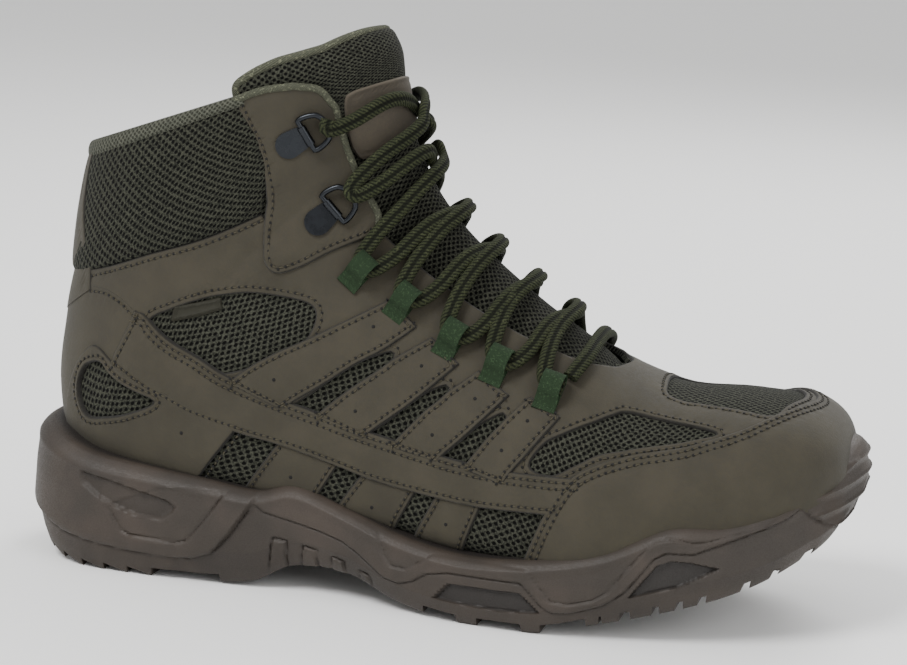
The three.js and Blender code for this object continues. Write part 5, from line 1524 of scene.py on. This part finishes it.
def frame_at(section, girth, side):
    """Place and axes on the leather: towards the ridge, towards the collar, and up."""
    sign = 1 if side == "outer" else -1
    seen = girth if side == "outer" else 2 - girth
    centre = on_last(section, seen)
    up = normals_at(section, np.array(seen))
    ridge = on_last(section, seen + sign * NEAR) - on_last(section, seen - sign * NEAR)
    ridge -= up * (ridge @ up)
    ridge /= np.linalg.norm(ridge)
    return centre, ridge, np.cross(up, ridge) * sign, up


loop_line = smooth_line(LOOP_PROFILE, closed=True, steps=6)
LOOP_ACROSS = 10
for n, (section, girth) in enumerate(LOOP_PLACES):
    for side in ("outer", "inner"):
        centre, ridge, collar, up = frame_at(section, girth, side)
        bm = grid_mesh(len(loop_line) + 1, 2 * (LOOP_ACROSS + 1) + 1)
        i, j = grid_index(bm)
        line_at = loop_line[i % len(loop_line)]
        before, after = loop_line[(i - 1) % len(loop_line)], loop_line[(i + 1) % len(loop_line)]
        ahead_line = unit(after - before)
        inward = np.stack([ahead_line[:, 1], -ahead_line[:, 0]], 1)
        j = j % (2 * (LOOP_ACROSS + 1))
        back = j > LOOP_ACROSS
        across = np.where(back, 2 * LOOP_ACROSS + 1 - j, j) / LOOP_ACROSS - 0.5
        place = line_at + inward * np.where(back, LOOP_TAPE, 0)[:, None]
        bulge = 1 - 0.08 * np.clip(line_at[:, 1] / 6, 0, 1)
        rib = TAPE_RIB_HIGH * np.cos(across * 2 * math.pi * TAPE_RIBS)
        points = (centre + (place[:, :1]) * ridge + (across * LOOP_WIDTH * bulge)[:, None] * collar
                  + (place[:, 1:] + QUARTER_HIGH + np.where(back, 0, rib)[:, None]) * up)
        set_uv(bm, np.stack([i * 0.06, across * 0.9], 1))
        move_points(bm, points)
        weld(bm, 0.001)
        finish_piece(bm, f"webbing_loop_{n + 1}_{side}", webbing, [f"lace_loop_{n + 1}_{side}"],
                     sharp=50)

# %% [markdown]
# ## Rings
# The two upper places carry a metal plate, a folded tube and a D ring instead of webbing. The plate is a
# domed pressing, which a rivet holds on a real boot, and the ring's bar lies in the tube.

# %% Rings and plates
metal_finish = Finish("gunmetal", "2E3033", 0.25, Metallic=1.0)
metal_cloud = metal_finish.noise(metal_finish.place(), 300, 3)
metal_finish.roughness(metal_finish.curve(metal_cloud, 0.3, 0.7, 0.22, 0.38))
metal = metal_finish.material
RING_PLACES = [(12.92, 0.775), (15.38, 0.725)]
RING_WIRE, PLATE_WIDTH, PLATE_LENGTH = 1.0, 9.5, 10.5
PLATE_INSETS = (0.45, 0.5, 0.9, 1.1)
HINGE, TUBE_RADIUS, TUBE_HIGH, WIRE_HIGH = 1.2, 1.6, 1.45, 1.5


def arc(centre, radius, start, end, count):
    angles = np.radians(np.linspace(start, end, count))
    return np.stack([centre[0] + radius * np.cos(angles), centre[1] + radius * np.sin(angles)], 1)


for n, (section, girth) in enumerate(RING_PLACES):
    for side in ("outer", "inner"):
        centre, ridge, collar, up = frame_at(section, girth, side)
        ground = FLAP_HIGH + 0.1
        half = PLATE_WIDTH / 2
        shoulders = [[-1.5, -half * 0.9], [0.5, -half * 0.8], [0.5, half * 0.8], [-1.5, half * 0.9]]
        plate_outline = np.vstack([arc((-PLATE_LENGTH + half, 0), half, 90, 270, 18), shoulders])
        bm = bmesh.new()
        verts = [bm.verts.new((x, y, 0)) for x, y in plate_outline]
        bm.faces.new(verts)
        bmesh.ops.recalc_face_normals(bm, faces=bm.faces)
        middle_face = bm.faces[:]
        for width in PLATE_INSETS:
            bmesh.ops.inset_region(bm, faces=middle_face, thickness=width, use_even_offset=True)
        top = bmesh.ops.extrude_face_region(bm, geom=bm.faces[:], use_keep_orig=True)["geom"]
        bmesh.ops.translate(bm, vec=(0, 0, 1), verts=[g for g in top if isinstance(g, bmesh.types.BMVert)])
        flat_place = bm_points(bm)
        ring3 = np.column_stack([np.vstack([plate_outline, plate_outline[:1]]),
                                 np.zeros(len(plate_outline) + 1)])
        edge = distance_to(np.column_stack([flat_place[:, :2], np.zeros(len(flat_place))]), [ring3])
        dome = np.where(flat_place[:, 2] > 0.5, 0.45 + 1.25 * rounded(edge, 3.2), 0)
        on_flap = centre + flat_place[:, :1] * ridge + flat_place[:, 1:2] * collar
        move_points(bm, on_flap + (ground + dome)[:, None] * up)
        finish_piece(bm, f"ring_plate_{n + 1}_{side}", metal, [f"lace_ring_{n + 1}_{side}"],
                     sharp=40)
        tube_y = np.linspace(-half * 0.75, half * 0.75, 9)
        tube_centres = centre + HINGE * ridge + tube_y[:, None] * collar + (ground + TUBE_HIGH) * up
        tube(f"ring_tube_{n + 1}_{side}", tube_centres, np.tile(up, (9, 1)), TUBE_RADIUS, metal,
             sides=16)
        wire = np.vstack([[[HINGE, -6.0], [3.2, -6.1], [5.6, -5.6]], arc((4.6, -1.2), 4.6, -62, 0, 7)[1:],
                          arc((4.6, 1.2), 4.6, 0, 62, 7)[:-1], [[5.6, 5.6], [3.2, 6.1], [HINGE, 6.0]]])
        wire = smooth_line(wire, steps=4)
        bar = np.linspace(6.0, -6.0, 12)[1:-1]
        wire = np.vstack([wire, np.column_stack([np.full(len(bar), HINGE), bar])])
        lean = np.clip((wire[:, 0] - HINGE) / 8.0, 0, 1)
        high = ground + WIRE_HIGH + 1.2 * lean
        wire_centres = centre + wire[:, :1] * ridge + wire[:, 1:] * collar + high[:, None] * up
        tube(f"ring_wire_{n + 1}_{side}", wire_centres, np.tile(up, (len(wire), 1)), RING_WIRE, metal,
             sides=12, closed=True)

# %% [markdown]
# ## The lace
# The lace is an oval braided cord, about five millimetres wide, with a groove down its middle. Its bottom
# bar runs through the lowest pair of loops, and from there both halves cross the tongue, turn through the
# next loop and cross again. One half lies over the other at each crossing. Its ends stay at the top rings.

# %% Course of the lace
MIDDLE_LOWER, OVER_RISE = 0.18, 3.4
ENTERING = [(-0.44, 0.14, -1.2), (-0.38, 0.05, -0.4)]
WITHIN = [(-0.2, -0.002, 0), (0.13, -0.004, 0)]
LEAVING = [(0.31, 0.055, -0.2), (0.40, 0.14, -1.2)]
LACE_WIDTH, LACE_THICK, LACE_PITCH = 5.4, 3.5, 1.1
LACE_IN_LOOP, LACE_IN_RING = QUARTER_HIGH + 3.3, FLAP_HIGH + 4.0
OVER_TONGUE = TONGUE_FACE + 2.3
stops = [(section, girth + 0.01, LACE_IN_LOOP) for section, girth in LOOP_PLACES]
stops += [(RING_PLACES[0][0] + 0.05, RING_PLACES[0][1] + 0.055, LACE_IN_RING),
          (RING_PLACES[1][0] + 0.05, RING_PLACES[1][1] + 0.055, LACE_IN_RING)]


def lace_course(start_side, over_first):
    """Control points as (section, girth, lift) for one half of the lace. side is -1 on the outer side."""
    course = []
    side = start_side
    for n, (section, girth, lift) in enumerate(stops):
        last_stop = n + 1 == len(stops)
        for up, inwards, raised in (ENTERING if n else []) + WITHIN + ([] if last_stop else LEAVING):
            place = girth + inwards
            course.append((section + up, place if side < 0 else 2 - place, lift + raised))
        if not last_stop:
            middle = (section + stops[n + 1][0]) / 2 - MIDDLE_LOWER
            over = (n % 2 == 0) == over_first
            course.append((middle, 1.0, OVER_TONGUE + (OVER_RISE if over else 0.0)))
        side = -side
    return np.array(course)


def lace_centres(course):
    """A smooth line through the course, laid on the last and resampled."""
    before, after = 2 * course[0] - course[1], 2 * course[-1] - course[-2]
    fine = smooth_rows(course, before, after, np.linspace(0, len(course) - 1, len(course) * 24))
    points = on_last(fine[:, 0], fine[:, 1], fine[:, 2])
    return resample(smoothed(points, 10), LACE_PITCH)


def lace_shape(angle):
    """The oval with two ridges: a shallow groove on both broad faces."""
    return 1 - 0.36 * np.exp(-(np.cos(angle) / 0.24) ** 2)


print("stops of the lace on each side:", len(stops))

# %% [markdown]
# The lace is braided from dark green yarn with a few paler threads. A wave across its width paints the groove
# down its middle near-black as painted shade, and a diagonal wave gives the braid.

# %% Lace pieces
lace_finish = Finish("braided lace", "1B1F10", 0.85, Specular_IOR_Level=0.15)
lace_uv = lace_finish.uv()
lace_ribs = lace_finish.node("TexWave", {"Vector": lace_uv}, Scale=4.4, Distortion=0.7,
                             bands_direction="DIAGONAL")
lace_groove_shade = lace_finish.node("TexWave", {"Vector": lace_uv}, Scale=math.pi / 5, bands_direction="Y")
lace_speck = lace_finish.noise(lace_finish.place(), 1500, 2)
lace_tint = lace_finish.mix(lace_finish.curve(lace_ribs.outputs["Fac"], 0.15, 0.75), srgb("10130A"),
                            srgb("2A2E1D"))
lace_tint = lace_finish.mix(lace_finish.curve(lace_speck, 0.56, 0.66, 0.0, 0.45), lace_tint, srgb("4A4E35"))
# Painted shade down the lace's middle groove.
lace_finish.color(lace_finish.mix(lace_finish.curve(lace_groove_shade.outputs["Fac"], 0.86, 0.99, 0.0, 0.85),
                                  lace_tint, srgb("060803")))
lace_finish.bump((lace_ribs.outputs["Fac"], 0.3, 0.5), (lace_speck, 0.15, 0.4))
lace_material = lace_finish.material


def lace_piece(name, course, rounds):
    """Sweeps one stretch of the lace and returns its length."""
    centres = lace_centres(course)
    tube(name, centres, smoothed(ups_at(centres), rounds), LACE_WIDTH / 2, lace_material, ["lace"],
         sides=20, squash=LACE_THICK / LACE_WIDTH, shape=lace_shape)
    return lengths_along(centres)[-1]


lace_lengths = [lace_piece("lace_half_first", lace_course(-1, True), 8),
                lace_piece("lace_half_second", lace_course(1, False), 8)]
bar_section, bar_girth, bar_lift = stops[0]
bar_half = np.array([(bar_section - 0.22, bar_girth + 0.03, bar_lift),
                     (bar_section - 0.3, bar_girth + 0.1, bar_lift - 0.4), (bar_section - 0.32, 0.93, 2.2)])
bar_back = bar_half[::-1] * (1, -1, 1) + (0, 2, 0)
bar = np.vstack([bar_half, [(bar_section - 0.32, 1.0, 1.8)], bar_back])
lace_lengths.append(lace_piece("lace_bar", bar, 0))
print("lace length shown:", round(sum(lace_lengths)), "mm")

# %% [markdown]
# ## Stitches
# Each stitch is a short thread that dips into the leather at both ends. One small capsule is shaped once,
# and copies of it are set along every row, so that a side's stitches make one joined mesh.

# %% One stitch and its copies
def template(bm):
    """The points and faces of a small shape, for copies in one mesh."""
    bm.verts.index_update()
    points = bm_points(bm)
    faces = [[vert.index for vert in face.verts] for face in bm.faces]
    bm.free()
    return points, faces


def copies(name, shape, frames, material):
    """One mesh of many copies of a shape. A frame is (place, along, across, up) in boot millimetres."""
    points, faces = shape
    places = np.array([frame[0] for frame in frames])
    axes = np.array([np.stack(frame[1:], 0) for frame in frames])
    moved = (places[:, None] + np.einsum("pk,fkc->fpc", points, axes)).reshape(-1, 3)
    corners = np.concatenate([np.array(face) for face in faces])
    sizes = np.array([len(face) for face in faces])
    count = len(frames)
    mesh = bpy.data.meshes.new(name)
    all_corners = (corners[None] + np.arange(count)[:, None] * len(points)).ravel()
    all_sizes = np.tile(sizes, count)
    mesh.vertices.add(len(moved))
    mesh.vertices.foreach_set("co", in_row_frame(moved).ravel())
    mesh.loops.add(len(all_corners))
    mesh.loops.foreach_set("vertex_index", all_corners)
    mesh.polygons.add(len(all_sizes))
    mesh.polygons.foreach_set("loop_start", np.concatenate([[0], np.cumsum(all_sizes)[:-1]]))
    mesh.update(calc_edges=True)
    mesh.validate()
    mesh.shade_smooth()
    print(name, "copies", count)
    add_piece(mesh, name, material)


bm = bmesh.new()
bmesh.ops.create_uvsphere(bm, u_segments=6, v_segments=4, radius=0.5)
bmesh.ops.rotate(bm, cent=(0, 0, 0), matrix=Matrix.Rotation(math.pi / 2, 3, "Y"), verts=bm.verts)
stitch_shape = template(bm)
bm = bmesh.new()
bmesh.ops.create_uvsphere(bm, u_segments=7, v_segments=3, radius=0.5)
hole_shape = template(bm)
STITCH_PITCH, STITCH_LENGTH, STITCH_WIDTH, STITCH_HIGH, STITCH_TURN = 2.5, 1.75, 0.55, 0.5, 0.05
NEEDLE_HOLE, DOT_WIDTH, DOT_HIGH = (1.35, 1.1, 0.32), 1.5, 0.3
thread = Finish("thread", "35301F", 0.8).material
# Painted shade: needle holes and punched dots are small near-black discs.
painted_pit_shade = Finish("pierced hole", "050403", 0.95).material


def frames_along(row, lift, size, jitter, seed):
    """Frames at the pitch of the stitches along a flat line, with their axes scaled to size."""
    rng = np.random.default_rng(seed)
    dense = resample(np.asarray(row) * FLAT, 0.4) / FLAT
    points = to_3d(dense, lift)
    lengths = lengths_along(points)
    count = max(int(lengths[-1] / STITCH_PITCH), 1)
    wanted = (np.arange(count) + 0.5) * lengths[-1] / count
    flat_places = np.stack([np.interp(wanted, lengths, dense[:, k]) for k in range(2)], 1)
    centres = to_3d(flat_places, lift)
    near_ends = [[np.interp(wanted + step, lengths, points[:, k]) for k in range(3)] for step in (0.4, -0.4)]
    ahead_of = np.subtract(*near_ends).T
    up = normals_at(flat_places[:, 0], flat_places[:, 1])
    ahead_of = unit(ahead_of - up * (ahead_of * up).sum(1, keepdims=True))
    across = np.cross(up, ahead_of)
    turn_by = rng.normal(0, jitter, len(centres))[:, None]
    turned = ahead_of * np.cos(turn_by) + across * np.sin(turn_by)
    sideways = np.cross(up, turned)
    return [(c, a * size[0], b * size[1], u * size[2]) for c, a, b, u in zip(centres, turned, sideways, up)]


# %% [markdown]
# Between two stitches the needle leaves a hole, and single punched dots decorate the straps, the tabs and the
# heel panels. Both are small near-black discs of painted shade. Each thread is turned a little by a seeded
# random angle, as in a hand-fed seam.

# %% Stitches, needle holes and perforations
for side, sewn_rows in STITCH_ROWS.items():
    threads, holes = [], []
    for n, (row, lift) in enumerate(sewn_rows):
        threads += frames_along(row, lift + 0.28, (STITCH_LENGTH, STITCH_WIDTH, STITCH_HIGH), STITCH_TURN, n)
        holes += frames_along(row, lift + 0.32, NEEDLE_HOLE, 0.0, n)
    for place, along, across, up in holes:
        place += along * STITCH_PITCH / 2
    turn_over = np.asarray if side == "outer" else inner_side
    for dots, lift in ((PERFORATIONS, FINGER_HIGH), (LOW_PERFORATIONS[:1], HEEL_PANEL_HIGH),
                       (LOW_PERFORATIONS[1:], TAB_HIGH)):
        for section, girth in turn_over(dots):
            up = normals_at(section, np.array(girth))
            along = np.cross(up, (0, 0, 1.0))
            along /= np.linalg.norm(along)
            holes.append((on_last(section, girth, lift + 0.02), along * DOT_WIDTH,
                          np.cross(up, along) * DOT_WIDTH, up * DOT_HIGH))
    copies("stitches_" + side, stitch_shape, threads, thread)
    copies("needle_hole_shade_" + side, hole_shape, holes, painted_pit_shade)

# %% [markdown]
# ## Side label
# A small moulded label is sewn into the upper window. It is left bare: a raised border round a plain field.

# %% Label
label_corners = [(13.66, 0.43), (13.1, 0.53), (12.86, 0.522), (13.42, 0.418)]
label_outline = joined(*[[label_corners[k], label_corners[(k + 1) % 4]] for k in range(4)])
label_material = Finish("label", "26251D", 0.7, Specular_IOR_Level=0.2).material


def label_border(section, edge):
    return 0.7 * np.clip(1 - np.abs(edge - 1.0) / 0.6, 0, 1)


lay(cut_flat(label_outline, cell=0.7), "side_label", label_outline, (), 0.0, 0.7, (), label_border,
    label_material, roll=0.4)

# %% [markdown]
# ## Camera, floor and light
# The camera stands where the photograph was taken from, a little towards the toe and above the boot.
# The floor is pale and plain, and three large soft lamps light it as a product studio would.

# %% Camera
VIEW_AZIMUTH, VIEW_ELEVATION, VIEW_ROLL = 14.0, 11.0, 2.5
VIEW_DISTANCE = 900.0
VIEW_TARGET = np.array([155.0, 0.0, 91.5])
FOCAL_PIXELS, IMAGE_WIDTH, SENSOR = 2500.0, 907.0, 36.0
turn, rise, roll = (math.radians(a) for a in (VIEW_AZIMUTH, VIEW_ELEVATION, VIEW_ROLL))
backwards = np.array([math.sin(turn) * math.cos(rise), -math.cos(turn) * math.cos(rise), math.sin(rise)])
rightwards = np.array([math.cos(turn), math.sin(turn), 0])
upwards = np.cross(backwards, rightwards)
rolled_right = math.cos(roll) * rightwards + math.sin(roll) * upwards
rolled_up = -math.sin(roll) * rightwards + math.cos(roll) * upwards
camera_data = bpy.data.cameras.new("camera")
camera_data.sensor_width = SENSOR
camera_data.lens = FOCAL_PIXELS * SENSOR / IMAGE_WIDTH
camera = bpy.data.objects.new("camera", camera_data)
bpy.context.scene.collection.objects.link(camera)
camera_place = in_row_frame(VIEW_TARGET + VIEW_DISTANCE * backwards)
camera.matrix_world = Matrix(np.column_stack([np.append(v, 0) for v in (rolled_right, rolled_up, backwards)]
                                             + [np.append(camera_place, 1)]).tolist())
bpy.context.scene.camera = camera
print("camera at", np.round(camera_place, 3))

# %% [markdown]
# The floor is a plain matt sheet. The key lamp stands in front on the left, the fill on the right and the
# third behind, and a bright white world keeps the shadows soft.

# %% Floor and lamps
floor_finish = Finish("floor", "FAFAF9", 0.85)
bm = bmesh.new()
bmesh.ops.create_grid(bm, x_segments=1, y_segments=1, size=12)
floor_mesh = bpy.data.meshes.new("floor")
bm.to_mesh(floor_mesh)
bm.free()
floor = bpy.data.objects.new("floor", floor_mesh)
floor_mesh.materials.append(floor_finish.material)
bpy.context.scene.collection.objects.link(floor)


def lamp(name, place, size, watts):
    data = bpy.data.lights.new(name, "AREA")
    data.shape = "DISK"
    data.size = size
    data.energy = watts
    made = bpy.data.objects.new(name, data)
    made.location = place
    made.rotation_euler = (Vector((0, 0, 0.08)) - Vector(place)).to_track_quat("-Z", "Y").to_euler()
    bpy.context.scene.collection.objects.link(made)


lamp("key", (-0.5, -0.9, 1.3), 0.7, 24)
lamp("fill", (1.1, -0.9, 0.7), 1.0, 8)
lamp("back", (0.3, 1.2, 1.2), 0.9, 15)
world = bpy.data.worlds.new("studio")
world.use_nodes = True
world.node_tree.nodes["Background"].inputs["Color"].default_value = (1, 1, 1, 1)
world.node_tree.nodes["Background"].inputs["Strength"].default_value = 0.85
bpy.context.scene.world = world
